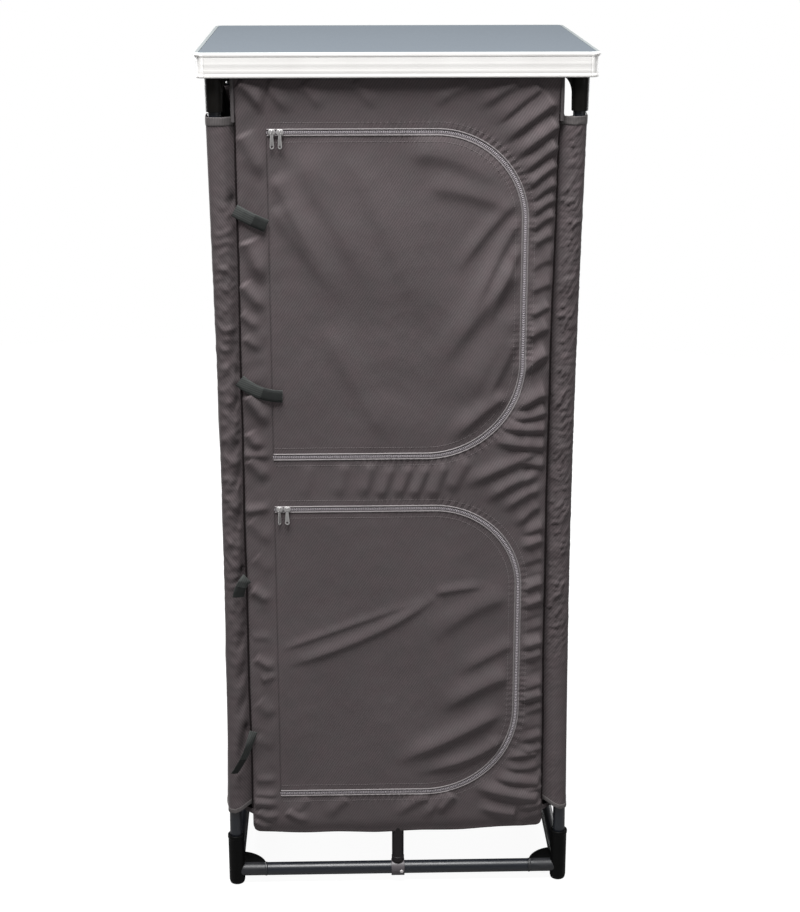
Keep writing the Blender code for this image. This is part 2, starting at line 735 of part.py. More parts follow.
def seam_folds(x, z):
    """Folds that start at the seams and hems round the doors."""
    out = np.zeros_like(x)
    # a fan from the right-hand seam down to the top of the upper zip
    for k in range(FAN_FOLDS):
        start = (PANEL_EDGE_X, SLEEVE_TOP + FAN_PITCH * (1 - k))
        end = (PANEL_EDGE_X - FAN_LENGTH_X, start[1] - 2 * FAN_PITCH)
        out += ridge(x, z, start, end, SEAM_FOLD_WIDTH, FAN_HEIGHT)
    # from the right-hand seam to the zip beside both doors
    middle = (UPPER_ZIP_TOP + UPPER_ZIP_BOTTOM) / 2
    for k in range(SEAM_FOLDS_UPPER):
        start = (PANEL_EDGE_X, middle - SEAM_PITCH_UPPER * (k + 2))
        end = (DOOR_FREE_EDGE_X - SMALL_FOLD_WIDTH * k, start[1] - SEAM_FOLD_WIDTH)
        out += ridge(x, z, start, end, SEAM_FOLD_WIDTH, SEAM_FOLD_HEIGHT)
    for k in range(SEAM_FOLDS_LOWER):
        start = (PANEL_EDGE_X, LOWER_ZIP_TOP - SEAM_PITCH_LOWER * (k + 1.5))
        end = (DOOR_FREE_EDGE_X + SEAM_FOLD_WIDTH, start[1] - SEAM_FOLD_WIDTH)
        out += ridge(x, z, start, end, SEAM_FOLD_WIDTH, SEAM_FOLD_HEIGHT)
    # upright ones in the band between the doors
    for k in range(BAND_FOLDS):
        across = BAND_PITCH * (k - 2)
        start = (across, UPPER_ZIP_BOTTOM - SMALL_FOLD_WIDTH)
        end = (across + SMALL_FOLD_WIDTH, LOWER_ZIP_TOP + SMALL_FOLD_WIDTH)
        out += ridge(x, z, start, end, SMALL_FOLD_WIDTH, BAND_FOLD_HEIGHT)
    # in the strip at the left of the doors
    pitch = (UPPER_ZIP_TOP - LOWER_ZIP_BOTTOM) / STRIP_FOLDS
    for k in range(STRIP_FOLDS):
        start = (-PANEL_EDGE_X, UPPER_ZIP_TOP - pitch * k)
        end = (HINGE_X - SMALL_FOLD_WIDTH, start[1] - STRIP_FOLD_DROP)
        out += ridge(x, z, start, end, SMALL_FOLD_WIDTH, STRIP_FOLD_HEIGHT)
    # in the skirt under the lower door
    for k in range(SKIRT_FOLDS):
        across = SKIRT_PITCH * (k - 1)
        start = (across + SKIRT_PITCH / 2, LOWER_ZIP_BOTTOM - SMALL_FOLD_WIDTH)
        end = (across, FRONT_HEM + SMALL_FOLD_WIDTH)
        out += ridge(x, z, start, end, SMALL_FOLD_WIDTH, SKIRT_FOLD_HEIGHT)
    return out


def door_folds(x, z):
    """Broad soft folds in the two doors."""
    upper = (UPPER_ZIP_TOP, UPPER_ZIP_BOTTOM)
    lower = (LOWER_ZIP_TOP, LOWER_ZIP_BOTTOM)
    out = np.zeros_like(x)
    for run, start, end in (
        (upper, (0.66, 0.82), (0.91, 0.88)),
        (upper, (0.97, 0.50), (0.66, 0.12)),
        (upper, (0.12, 0.87), (0.45, 0.28)),
        (lower, (0.50, 0.20), (0.95, 0.36)),
    ):
        line = (on_door(run, *start), on_door(run, *end))
        out += ridge(x, z, *line, BROAD_FOLD_WIDTH, BROAD_FOLD_HEIGHT)
    for run, start, end in (
        (upper, (0.77, 0.08), (0.89, 0.18)),
        (lower, (0.06, 0.48), (0.67, 0.71)),
        (lower, (0.67, 0.71), (0.84, 0.73)),
        (lower, (0.48, 0.11), (0.97, 0.23)),
    ):
        line = (on_door(run, *start), on_door(run, *end))
        out += ridge(x, z, *line, DOOR_FOLD_WIDTH, DOOR_FOLD_HEIGHT)
    return out


def front_folds(x, z):
    """How far the front cloth stands out of its flat plane, in metres."""
    return (seam_folds(x, z) + door_folds(x, z)) * stillness(x, z)


def sleeve_folds(around, z, side):
    """How far a side sleeve's cloth stands out; around runs from 0 at the front seam to 1."""
    swell = np.sin(2 * math.pi * z / SLEEVE_LONG_WAVE + 3.0 * around + side)
    swell += np.sin(2 * math.pi * z / SLEEVE_SHORT_WAVE - 5.0 * around)
    return SLEEVE_SWELL * swell * np.sin(math.pi * np.clip(around, 0, 1)) ** 2


# Cover


def front_hem(x):
    """The height of the front panel's lower edge, which sags at the middle."""
    across = x / PANEL_EDGE_X
    return FRONT_HEM + FRONT_HEM_DIP * (across**2 + 0.5 * across)


def front_sheet(name, x, z, keep=None):
    """A piece of the front cloth over a grid of x and z, thick by CLOTH behind its folded face."""
    face = -PANEL_FACE_Y - front_folds(x, z)
    outer = np.stack([x, face, z], axis=2)
    inner = np.stack([x, face + CLOTH, z], axis=2)
    return thick_sheet(name, outer, inner, cover_fabric(), keep)


def door_levels(top, bottom, offset, straight_steps):
    """Heights up a door's outline moved outwards by offset, close together on its corners."""
    turn = np.linspace(0, math.pi / 2, ZIP_CURVE_STEPS + 1)
    upper = DOOR_TOP_RADIUS + offset
    lower = DOOR_BOTTOM_RADIUS + offset
    low_arc = bottom - offset + lower * (1 - np.cos(turn))
    high_arc = top + offset - upper * (1 - np.cos(turn[::-1]))
    straight = np.linspace(low_arc[-1], high_arc[0], straight_steps + 1)[1:-1]
    return np.concatenate([low_arc, straight, high_arc])


def door_edge(z, top, bottom, offset):
    """The x of a door's round-cornered free edge at each height."""
    upper = DOOR_TOP_RADIUS + offset
    lower = DOOR_BOTTOM_RADIUS + offset
    above = np.clip(z - (top + offset - upper), 0, upper)
    below = np.clip(bottom - offset + lower - z, 0, lower)
    corner = upper - np.sqrt(upper**2 - above**2) + lower - np.sqrt(lower**2 - below**2)
    return DOOR_FREE_EDGE_X + offset - corner


def cover_front():
    """The front panel: one sheet whose cells inside the two doors are left out."""
    offset = ZIP_HALF_WIDTH + GAP
    lower = door_levels(LOWER_ZIP_TOP, LOWER_ZIP_BOTTOM, offset, 5)
    upper = door_levels(UPPER_ZIP_TOP, UPPER_ZIP_BOTTOM, offset, 5)
    skirt = np.linspace(FRONT_HEM, lower[0], 5)[:-1]
    band = np.linspace(lower[-1], upper[0], 5)[1:-1]
    head = np.linspace(upper[-1], PANEL_TOP, 5)[1:]
    level = np.concatenate([skirt, lower, band, upper, head])
    edge = np.where(
        level <= lower[-1],
        door_edge(level, LOWER_ZIP_TOP, LOWER_ZIP_BOTTOM, offset),
        door_edge(level, UPPER_ZIP_TOP, UPPER_ZIP_BOTTOM, offset),
    )
    in_band = (level > lower[-1]) & (level < upper[0])
    ends = (lower[-1], upper[0])
    end_edges = [edge[level == end][0] for end in ends]
    edge[in_band] = np.interp(level[in_band], ends, end_edges)
    strip = np.linspace(0, 1, 4)[:, None]
    middle = np.linspace(0, 1, 10)[1:, None]
    side = np.linspace(0, 1, 5)[1:, None]
    hinge = HINGE_X - GAP
    x = np.concatenate(
        [
            -PANEL_EDGE_X + (hinge + PANEL_EDGE_X) * strip + 0 * edge,
            hinge + (edge - hinge) * middle,
            edge + (PANEL_EDGE_X - edge) * side,
        ]
    )
    share = np.clip((lower[0] - level) / (lower[0] - FRONT_HEM), 0, 1)
    z = level + share * (front_hem(x) - FRONT_HEM)
    keep = np.ones((x.shape[0] - 1, x.shape[1] - 1), bool)
    first = len(strip) - 1
    for door_span in (lower, upper):
        start = int(np.argmin(np.abs(level - door_span[0])))
        keep[first : first + len(middle), start : start + len(door_span) - 1] = False
    return front_sheet("cover_front", x, z, keep)


def door(name, top, bottom):
    """A door panel: the same cloth as the front, inside its zip."""
    offset = -ZIP_HALF_WIDTH - GAP
    level = door_levels(top, bottom, offset, 5)
    edge = door_edge(level, top, bottom, offset)
    hinge = HINGE_X + GAP
    x = hinge + (edge - hinge) * np.linspace(0, 1, 14)[:, None]
    return front_sheet(f"{name}_door", x, level + 0 * x)


def zip_line(top, bottom, offset, start):
    """The D of a zip moved outwards by offset, from the hinge line round to the hinge line."""
    right = DOOR_FREE_EDGE_X + offset
    upper = DOOR_TOP_RADIUS + offset
    lower = DOOR_BOTTOM_RADIUS + offset
    high = top + offset
    low = bottom - offset
    steps = ZIP_CURVE_STEPS
    line = [(start, high)]
    line += arc((right - upper, high - upper), upper, math.pi / 2, 0, steps)
    line += arc((right - lower, low + lower), lower, 0, -math.pi / 2, steps)
    line.append((start, low))
    return line


def zip_band(name, top, bottom, side):
    """Half of a zip: a tape and its row of teeth, carried round the D; side is 1 on the cover."""
    near = side * GAP / 2
    teeth = side * ZIP_TEETH_WIDTH
    far = side * ZIP_HALF_WIDTH
    tape_face = -PANEL_FACE_Y
    teeth_face = tape_face - ZIP_TEETH_HEIGHT
    back = tape_face + CLOTH
    section = [
        (near, back),
        (far, back),
        (far, tape_face),
        (teeth, tape_face),
        (teeth, teeth_face),
        (near, teeth_face),
    ]
    start = HINGE_X + (GAP if side < 0 else 0)
    lines = [zip_line(top, bottom, offset, start) for offset, _ in section]
    count = len(section)
    vertices = []
    for places in zip(*lines):
        vertices += [(x, section[k][1], z) for k, (x, z) in enumerate(places)]
    steps = len(lines[0]) - 1
    faces = [tuple(range(count)), tuple(range(steps * count, len(vertices)))]
    for step in range(steps):
        for k in range(count):
            n = (k + 1) % count
            a = step * count
            faces.append((a + k, a + n, a + count + n, a + count + k))
    return add(name, vertices, faces, zip_tape())


def zips():
    """The fixed half on the cover and the moving half on the door, for each zip."""
    for name, (top, bottom) in zip_runs().items():
        zip_band(f"{name}_zip_fixed", top, bottom, 1)
        zip_band(f"{name}_zip_moving", top, bottom, -1)


def cover_back():
    """The back panel, which hangs flat behind the back bars."""
    edge = PANEL_EDGE_X
    x = np.linspace(-edge, edge, 7)[:, None] * np.ones((1, 13))
    z = np.linspace(FRONT_HEM, PANEL_TOP, 13)[None, :] * np.ones((7, 1))
    across = np.sin(math.pi * (x / edge + 1)) ** 2
    swell = BACK_SWELL * across * np.sin(math.pi * z / BACK_WAVE) ** 2
    face = PANEL_FACE_Y + swell
    outer = np.stack([x, face, z], axis=2)
    inner = np.stack([x, face - CLOTH, z], axis=2)
    return thick_sheet("cover_back", outer, inner, cover_fabric())


def sleeve_pairs():
    """The left side's plan as pairs of (outer, inner) points, from the front seam to the middle."""
    seam_x = PANEL_EDGE_X + GAP
    outer_y = PANEL_FACE_Y
    inner_y = PANEL_FACE_Y - CLOTH
    ring = SLEEVE_RADIUS
    inner_start = -math.acos((inner_y - LEG_Y) / ring)
    inner_end = -math.pi + math.acos((ring - CLOTH) / ring) - math.pi / 2
    tangent_x = LEG_X - ring * math.sin(-inner_start)
    pairs = [
        ((seam_x, outer_y), (seam_x, inner_y)),
        (((seam_x + tangent_x) / 2, outer_y), ((seam_x + tangent_x) / 2, inner_y)),
    ]
    for k in range(SLEEVE_STEPS + 1):
        outer_angle = math.pi / 2 * k / SLEEVE_STEPS
        inner_angle = inner_start + (inner_end - inner_start) * k / SLEEVE_STEPS
        outer = (
            LEG_X + ring * math.sin(outer_angle),
            LEG_Y + ring * math.cos(outer_angle),
        )
        inner = (
            LEG_X + ring * math.sin(inner_angle),
            LEG_Y + ring * math.cos(inner_angle),
        )
        pairs.append((outer, inner))
    wall = LEG_X + ring
    for y in np.linspace(LEG_Y - SIDE_WALL_START, 0, 3):
        pairs.append(((wall, y), (wall - CLOTH, y)))
    return pairs


def cover_side(name, side):
    """A side wall with a sleeve round each leg; its bound top edge dips between the legs."""
    half = sleeve_pairs()
    signs = [-1] * len(half) + [1] * (len(half) - 1)
    plan = half + half[-2::-1]
    rows = SIDE_ROWS
    count = len(plan)
    outer = np.zeros((count, rows, 3))
    inner = np.zeros((count, rows, 3))
    level = np.linspace(0, 1, rows)
    for k, (out_point, in_point) in enumerate(plan):
        seam = max(0.0, (LEG_X - out_point[0]) / (LEG_X - PANEL_EDGE_X))
        low = SLEEVE_HEM + SLEEVE_HEM_RISE * seam
        in_wall = out_point[1] < LEG_Y - SIDE_WALL_START / 2
        dip = max(0.0, 1 - (out_point[1] / (LEG_Y - SIDE_WALL_START)) ** 2)
        z = low + (SLEEVE_TOP - SIDE_TOP_DIP * dip - low) * level
        around = k / (count - 1)
        swell = sleeve_folds(np.full(rows, 2 * around if around < 0.5 else 2 - 2 * around), z, side)
        dx = out_point[0] - LEG_X
        dy = out_point[1] - LEG_Y
        length = math.hypot(dx, dy) if not in_wall else 1.0
        push = (dx / length, dy / length) if not in_wall else (1.0, 0.0)
        outer[k, :, 0] = side * (out_point[0] + swell * push[0])
        outer[k, :, 1] = signs[k] * (out_point[1] + swell * push[1])
        outer[k, :, 2] = z
        shift = swell if in_wall else 0.0
        inner[k, :, 0] = side * (in_point[0] + shift)
        inner[k, :, 1] = signs[k] * in_point[1]
        inner[k, :, 2] = z
    body = thick_sheet(f"cover_{name}", outer, inner, cover_fabric())
    cuts = []
    for end, side_y in (("front", -1), ("back", 1)):
        at = (side * LEG_X, side_y * LEG_Y, 0)
        node = f"cover_{name}_{end}_cut"
        cuts.append(rod(node, LEG_BORE, 0, TOTAL_HEIGHT, cover_fabric(), "Z", at))
    return combine(body, cuts, "DIFFERENCE")


# Tie straps


def strap(name, height, points, twist):
    """A flat webbing strap sewn in at the left seam, along (x, z) points measured from there."""
    line = np.array(points) + (STRAP_SEAM_INSET - PANEL_EDGE_X, height)
    columns = len(points)
    outer = np.zeros((columns, 2, 3))
    inner = np.zeros((columns, 2, 3))
    lift = PANEL_FACE_Y + STRAP_LIFT
    for k in range(columns):
        step = line[min(k + 1, columns - 1)] - line[max(k - 1, 0)]
        step = step / np.linalg.norm(step)
        across = np.array([-step[1], step[0]])
        for j, share in enumerate((-0.5, 0.5)):
            place = line[k] + across * share * STRAP_WIDTH
            stand = lift + twist * k / (columns - 1) + STRAP_TILT * share
            outer[k, j] = (place[0], -stand - STRAP_THICKNESS, place[1])
            inner[k, j] = (place[0], -stand, place[1])
    return thick_sheet(name, outer, inner, black_webbing())


def straps():
    """Four straps, each along the route that it lies in."""
    long_across = [(-0.004, 0.001), (0.015, -0.014), (0.040, -0.023)]
    across = [(0, 0), (0.015, -0.014), (0.033, -0.021)]
    folded = [(0, 0), (-0.012, -0.015), (-0.016, -0.032)]
    hanging = [(0, 0), (-0.015, -0.035), (-0.030, -0.068)]
    strap("tie_strap_1", UPPER_ZIP_TOP - STRAP_1_DROP, long_across, 0.0)
    strap("tie_strap_2", UPPER_ZIP_BOTTOM + STRAP_2_RISE, across, 0.0)
    strap("tie_strap_3", LOWER_ZIP_TOP - STRAP_3_DROP, folded, STRAP_TILT)
    strap("tie_strap_4", LOWER_ZIP_BOTTOM + STRAP_4_RISE, hanging, STRAP_TILT)


# Zip sliders and pulls


def slider(name, x, z):
    """A slider body: a plate over the teeth with two ears and the pin between them."""
    back = -PANEL_FACE_Y - ZIP_TEETH_HEIGHT - GAP
    front = back - SLIDER_PLATE
    wide = SLIDER_WIDTH / 2
    long = SLIDER_LENGTH / 2
    corner = SLIDER_WIDTH / 4
    outline = [
        (x - wide, z - long + corner),
        (x - wide + corner, z - long),
        (x + wide - corner, z - long),
        (x + wide, z - long + corner),
        (x + wide, z + long - corner),
        (x + wide - corner, z + long),
        (x - wide + corner, z + long),
        (x - wide, z + long - corner),
    ]
    look = zip_metal()
    body = prism(name, outline, front, back, look, "XZ")
    pin_y = front - PULL_PIN_STAND_OFF
    ear = [
        (front + SLIDER_PLATE / 2, z - long / 2),
        (front + SLIDER_PLATE / 2, z + long / 2),
        (pin_y - 2 * PULL_PIN_RADIUS, z + 2 * PULL_PIN_RADIUS),
        (pin_y - 2 * PULL_PIN_RADIUS, z - 2 * PULL_PIN_RADIUS),
    ]
    inside = wide - SLIDER_EAR
    ears = [
        prism(f"{name}_ear_left", ear, x - wide + GAP, x - inside, look, "YZ"),
        prism(f"{name}_ear_right", ear, x + inside, x + wide - GAP, look, "YZ"),
    ]
    reach = inside + SLIDER_EAR / 2
    at = (x, pin_y, z)
    pin = rod(f"{name}_pin", PULL_PIN_RADIUS, -reach, reach, look, "X", at, 8)
    return combine(body, ears + [pin], "UNION")


def pull(name, x, z):
    """A zip pull: an eye round the slider's pin and a flat tag with a hole."""
    pin_y = -PANEL_FACE_Y - ZIP_TEETH_HEIGHT - GAP - SLIDER_PLATE - PULL_PIN_STAND_OFF
    eye = PULL_PIN_RADIUS + GAP
    outer = eye + PULL_THICKNESS
    half = SLIDER_WIDTH / 2 - SLIDER_EAR - GAP
    look = zip_metal()
    steps = 10
    bend = math.asin(PULL_THICKNESS / 2 / outer)
    outline = arc((pin_y, z), outer, -math.pi / 2 + bend, 1.5 * math.pi - bend, steps)
    outline.append((pin_y - PULL_THICKNESS / 2, z - PULL_LENGTH))
    outline.append((pin_y + PULL_THICKNESS / 2, z - PULL_LENGTH))
    body = prism(name, outline, x - half, x + half, look, "YZ")
    reach = PULL_PIN_STAND_OFF
    bore = rod(f"{name}_eye", eye, -SLIDER_WIDTH, SLIDER_WIDTH, look, "X", (x, pin_y, z), 8)
    low = z - PULL_LENGTH + 2 * PULL_HOLE_RADIUS
    hole = rod(f"{name}_hole", PULL_HOLE_RADIUS, -reach, reach, look, "Y", (x, pin_y, low), 10)
    return combine(body, [bore, hole], "DIFFERENCE")


def sliders():
    """Two sliders with their pulls at the hinge end of each zip."""
    for name, (top, _) in zip_runs().items():
        first = HINGE_X + CLOTH + GAP + SLIDER_WIDTH / 2
        for place, x in (("left", first), ("right", first + SLIDER_PITCH)):
            slider(f"{name}_slider_{place}", x, top)
            pull(f"{name}_pull_{place}", x, top)


def pivot(name, location, nodes):
    """An empty on a joint's axis, which carries the nodes that move round it."""
    empty = bpy.data.objects.new(name, None)
    empty.location = location
    bpy.context.scene.collection.objects.link(empty)
    bpy.context.view_layer.update()
    for node in nodes:
        obj = bpy.data.objects[node]
        obj.parent = empty
        obj.matrix_parent_inverse = empty.matrix_world.inverted()


def pivots():
    """The empties on the axes of the doors and pulls."""
    pin_y = -PANEL_FACE_Y - ZIP_TEETH_HEIGHT - GAP - SLIDER_PLATE - PULL_PIN_STAND_OFF
    first = HINGE_X + CLOTH + GAP + SLIDER_WIDTH / 2
    for name, (top, bottom) in zip_runs().items():
        moving = [f"{name}_door", f"{name}_zip_moving"]
        pivot(f"{name}_door_hinge", (HINGE_X, HINGE_Y, (top + bottom) / 2), moving)
        for place, x in (("left", first), ("right", first + SLIDER_PITCH)):
            pivot(f"{name}_pull_{place}_pin", (x, pin_y, top), [f"{name}_pull_{place}"])


for old in list(bpy.data.objects):
    bpy.data.objects.remove(old)

table_board()
table_edges()
for corner, (sign_x, sign_y) in corner_signs().items():
    table_corner_cap(f"table_cap_{corner}", sign_x, sign_y)
    bottom_corner(corner, sign_x, sign_y)
    top_corner(corner, sign_x, sign_y)
legs()
bars("bottom", BOTTOM_BAR_HEIGHT)
bars("top", TOP_BAR_HEIGHT)
props()
shelf("base_board", BASE_BOARD_HEIGHT)
shelf("middle_shelf", MIDDLE_SHELF_HEIGHT)
hanging_rail()
cover_front()
cover_back()
cover_side("left", -1)
cover_side("right", 1)
for door_name, (door_top, door_bottom) in zip_runs().items():
    door(door_name, door_top, door_bottom)
zips()
straps()
sliders()
pivots()
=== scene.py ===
"""Camp wardrobe: how its tube frame, its fabric cover and its table top look."""

import math

import bmesh
import bpy
import numpy as np
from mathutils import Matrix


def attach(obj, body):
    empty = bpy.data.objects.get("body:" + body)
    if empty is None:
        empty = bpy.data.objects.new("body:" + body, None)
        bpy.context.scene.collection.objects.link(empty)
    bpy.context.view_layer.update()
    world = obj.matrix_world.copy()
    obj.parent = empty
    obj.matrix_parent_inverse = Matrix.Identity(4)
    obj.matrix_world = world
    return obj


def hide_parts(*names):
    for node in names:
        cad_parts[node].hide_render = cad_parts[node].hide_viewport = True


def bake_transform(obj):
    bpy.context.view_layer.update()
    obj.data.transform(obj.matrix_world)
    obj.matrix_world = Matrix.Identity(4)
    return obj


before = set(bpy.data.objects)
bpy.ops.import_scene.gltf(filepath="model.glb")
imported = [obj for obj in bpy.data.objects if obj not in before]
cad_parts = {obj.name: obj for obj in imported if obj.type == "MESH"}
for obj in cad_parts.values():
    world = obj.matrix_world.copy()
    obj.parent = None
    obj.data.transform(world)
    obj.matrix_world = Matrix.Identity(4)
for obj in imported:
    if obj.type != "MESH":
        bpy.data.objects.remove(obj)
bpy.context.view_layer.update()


# Camera: it stood at eye height, a little left of the middle and three metres away, and
# looked slightly right and down through a long lens.
def add_object(name, data):
    """A new object in the scene that shows this data."""
    made = bpy.data.objects.new(name, data)
    bpy.context.scene.collection.objects.link(made)
    return made


camera = add_object("camera", bpy.data.cameras.new("camera"))
camera.data.sensor_width = 36
camera.data.lens = 72.5
camera.location = (-0.0773, -2.9871, 1.6383)
camera.rotation_euler = (math.pi / 2 - 0.3086, 0, -0.0293)
bpy.context.scene.camera = camera
bpy.context.scene.view_settings.view_transform = "Standard"


# Floor, surroundings and lamps: a plain white studio with a large soft lamp high above the
# camera, a weak one at its right, and two low ones behind the wardrobe.
FLOOR_X, FLOOR_Y, FLOOR_RADIUS = -0.4, -0.7, 4.3


def fill_inputs(tree, node, inputs):
    """Sets inputs of a node: each is a plain value, or a socket that is joined to it."""
    for name, value in inputs.items():
        if isinstance(value, bpy.types.NodeSocket):
            tree.links.new(value, node.inputs[name])
        else:
            node.inputs[name].default_value = value


def add_node(tree, kind, inputs=None, settings=None):
    """Adds a node with its settings and inputs."""
    made = tree.nodes.new("ShaderNode" + kind)
    for name, value in (settings or {}).items():
        setattr(made, name, value)
    fill_inputs(tree, made, inputs or {})
    return made


def mapped(tree, value, low, high, start=0.0, end=1.0):
    """A value that runs from start to end, brought to run from low to high."""
    inputs = {"Value": value, "From Min": start, "From Max": end, "To Min": low, "To Max": high}
    return add_node(tree, "MapRange", inputs).outputs[0]


def seen_directly(tree):
    """1 for a ray straight from the camera, and 0 for all other light."""
    return add_node(tree, "LightPath").outputs["Is Camera Ray"]


studio = bpy.data.worlds.new("white_studio")
bpy.context.scene.world = studio
floor_paint = bpy.data.materials.new("white_studio_floor")
for owner in (studio, floor_paint):
    owner.use_nodes = True
    owner.node_tree.nodes.clear()
tree = studio.node_tree
sky = {"Color": (1, 1, 1, 1), "Strength": mapped(tree, seen_directly(tree), 0.13, 1.0)}
add_node(tree, "OutputWorld", {"Surface": add_node(tree, "Background", sky).outputs[0]})

# the floor looks white, and throws little light back up at the folds
tree = floor_paint.node_tree
direct = seen_directly(tree)
matt = add_node(tree, "BsdfDiffuse", {"Color": mapped(tree, direct, 0.26, 0.9)})
white = add_node(tree, "Emission", {"Color": (1, 1, 1, 1), "Strength": 1.12})
both = {0: mapped(tree, direct, 0.0, 0.84), 1: matt.outputs[0], 2: white.outputs[0]}
add_node(tree, "OutputMaterial", {"Surface": add_node(tree, "MixShader", both).outputs[0]})
floor_mesh = bpy.data.meshes.new("studio_floor")
angle = np.arange(64) * math.pi / 32
x, y = FLOOR_X + FLOOR_RADIUS * np.cos(angle), FLOOR_Y + FLOOR_RADIUS * np.sin(angle)
floor_mesh.from_pydata(np.column_stack([x, y, 0 * angle]).tolist(), [], [tuple(range(64))])
floor_mesh.materials.append(floor_paint)
add_object("studio_floor", floor_mesh)

for name, place, aim, size, power in (
    ("key_lamp", (-0.4, -1.3, 4.6), 0.8, (2.2, 2.0), 450),
    ("fill_lamp", (2.4, -2.6, 1.5), 0.7, (1.6, 1.6), 10),
    ("left_back_lamp", (-2.4, 2.4, 0.9), 0.7, (1.4, 1.4), 60),
    ("right_back_lamp", (2.6, 2.2, 0.9), 0.7, (1.4, 1.4), 40),
):
    lamp = add_object(name, bpy.data.lights.new(name, "AREA"))
    lamp.data.shape = "RECTANGLE"
    lamp.data.size, lamp.data.size_y = size
    lamp.data.energy = power
    lamp.location = place
    away = np.array((0, 0, aim)) - np.array(place)
    turn = math.atan2(away[1], away[0]) - math.pi / 2
    lamp.rotation_euler = (math.pi / 2 + math.atan2(away[2], math.hypot(away[0], away[1])), 0, turn)


# Foot mouldings: black nylon, injection moulded in one piece each. A leg socket stands on a
# rounded foot, two arms take the bars, and a flat web ties the arms together.
LEG_X = 0.2725
LEG_Y = 0.2245
BAR_RADIUS = 0.0110
ARM_END = 0.0515
BOTTOM_BAR_Z = 0.0245
WEB_RADIUS = 0.050
WEB_LOW, WEB_HIGH = 0.0187, 0.0303
CORNERS = {"front_left": (-1, -1), "front_right": (1, -1), "back_left": (-1, 1), "back_right": (1, 1)}


def linear(code):
    """An sRGB hex colour in linear light: c / 12.92 below 0.04, else ((c + 0.055) / 1.055) ** 2.4."""
    parts = [int(code[k : k + 2], 16) / 255 for k in (1, 3, 5)]
    return tuple(c / 12.92 if c <= 0.04045 else ((c + 0.055) / 1.055) ** 2.4 for c in parts) + (1.0,)


def own_place(tree):
    """A point's place on its own piece, in metres."""
    return add_node(tree, "TexCoord").outputs["Object"]


def noise(tree, place, scale, detail):
    """A cloudy value about 0.5, of this scale in waves per metre."""
    inputs = {"Vector": place, "Scale": scale, "Detail": detail}
    return add_node(tree, "TexNoise", inputs).outputs["Fac"]


def two_tone(tree, share, first, second):
    """Two colours mixed by a share; each is a hex code or a socket."""
    first, second = (linear(tone) if isinstance(tone, str) else tone for tone in (first, second))
    return add_node(tree, "Mix", {0: share, 6: first, 7: second}, {"data_type": "RGBA"}).outputs[2]


def bump(tree, height, strength, distance):
    """A surface that stands out by a height from 0 to 1 times this distance in metres."""
    inputs = {"Height": height, "Strength": strength, "Distance": distance}
    return add_node(tree, "Bump", inputs).outputs[0]


def on_shader(made, inputs):
    """Sets inputs of a material's shader."""
    fill_inputs(made.node_tree, made.node_tree.nodes["Principled BSDF"], inputs)


def material(name, sockets, tones=None, wear=None, grain=None):
    """A Principled material with these values on its shader's sockets. Up to three noises of a
    scale and detail go on top: tones between two colours, wear that brings the roughness
    between two values, and a grain of a bump's strength and distance."""
    made = bpy.data.materials.new(name)
    made.use_nodes = True
    tree = made.node_tree
    linked = {}
    if tones:
        linked["Base Color"] = two_tone(tree, noise(tree, own_place(tree), *tones[:2]), *tones[2:])
    if wear:
        linked["Roughness"] = mapped(tree, noise(tree, own_place(tree), *wear[:2]), *wear[2:])
    if grain:
        linked["Normal"] = bump(tree, noise(tree, own_place(tree), *grain[:2]), *grain[2:])
    on_shader(made, sockets | linked)
    return made


def moulded_nylon(name, colour, gloss):
    """Injection-moulded nylon: satin, with the fine grain of an eroded tool, which is about
    0.3 mm on the real surface, and 1.2 mm here so that it shows."""
    sockets = {"Base Color": linear(colour), "IOR": 1.53, "Specular IOR Level": gloss}
    return material(name, sockets, None, (60, 5, 0.38, 0.58, 0.3, 0.7), (850, 2, 0.25, 0.0003))


def softened(points, radius, steps=4):
    """A line of points whose inner corners are rounded: each is replaced by the curve
    (1-t)^2 a + 2t(1-t) b + t^2 c between points a and c at most radius away on its two sides."""
    points = np.array(points, float)
    out = [points[0]]
    for before, corner, after in zip(points, points[1:], points[2:]):
        ends = []
        for other in (before, after):
            away = other - corner
            length = np.linalg.norm(away)
            ends.append(corner + away / length * min(radius, 0.45 * length))
        t = np.linspace(0, 1, steps + 1)[:, None]
        out.extend((1 - t) ** 2 * ends[0] + 2 * t * (1 - t) * corner + t**2 * ends[1])
    out.append(points[-1])
    return np.array(out)


def grid_faces(columns, rows, around=False, along=False):
    """Four-sided faces between neighbours on a grid; around and along close it on itself."""
    i = np.arange(columns if around else columns - 1)
    j = np.arange(rows if along else rows - 1)
    i, j = np.meshgrid(i, j, indexing="ij")
    right = (i + 1) % columns
    above = (j + 1) % rows
    corners = (i * rows + j, right * rows + j, right * rows + above, i * rows + above)
    return np.stack(corners, axis=-1).reshape(-1, 4)


def grid_points(x, y, z):
    """The points of a grid as rows, one column of the grid after another."""
    return np.stack(np.broadcast_arrays(x, y, z), axis=2).reshape(-1, 3)


def turned(profile, at, axis="Z", sides=48):
    """A profile of (radius, height) carried round an axis through the point at:
    (r cos a, r sin a, h) for each angle a."""
    radius, height = np.array(profile, float).T
    angle = np.linspace(0, 2 * math.pi, sides, endpoint=False)[:, None]
    points = grid_points(radius * np.cos(angle), radius * np.sin(angle), height)
    order = {"X": [2, 0, 1], "Y": [1, 2, 0], "Z": [0, 1, 2]}[axis]
    return points[:, order] + np.array(at), grid_faces(sides, len(radius), True)


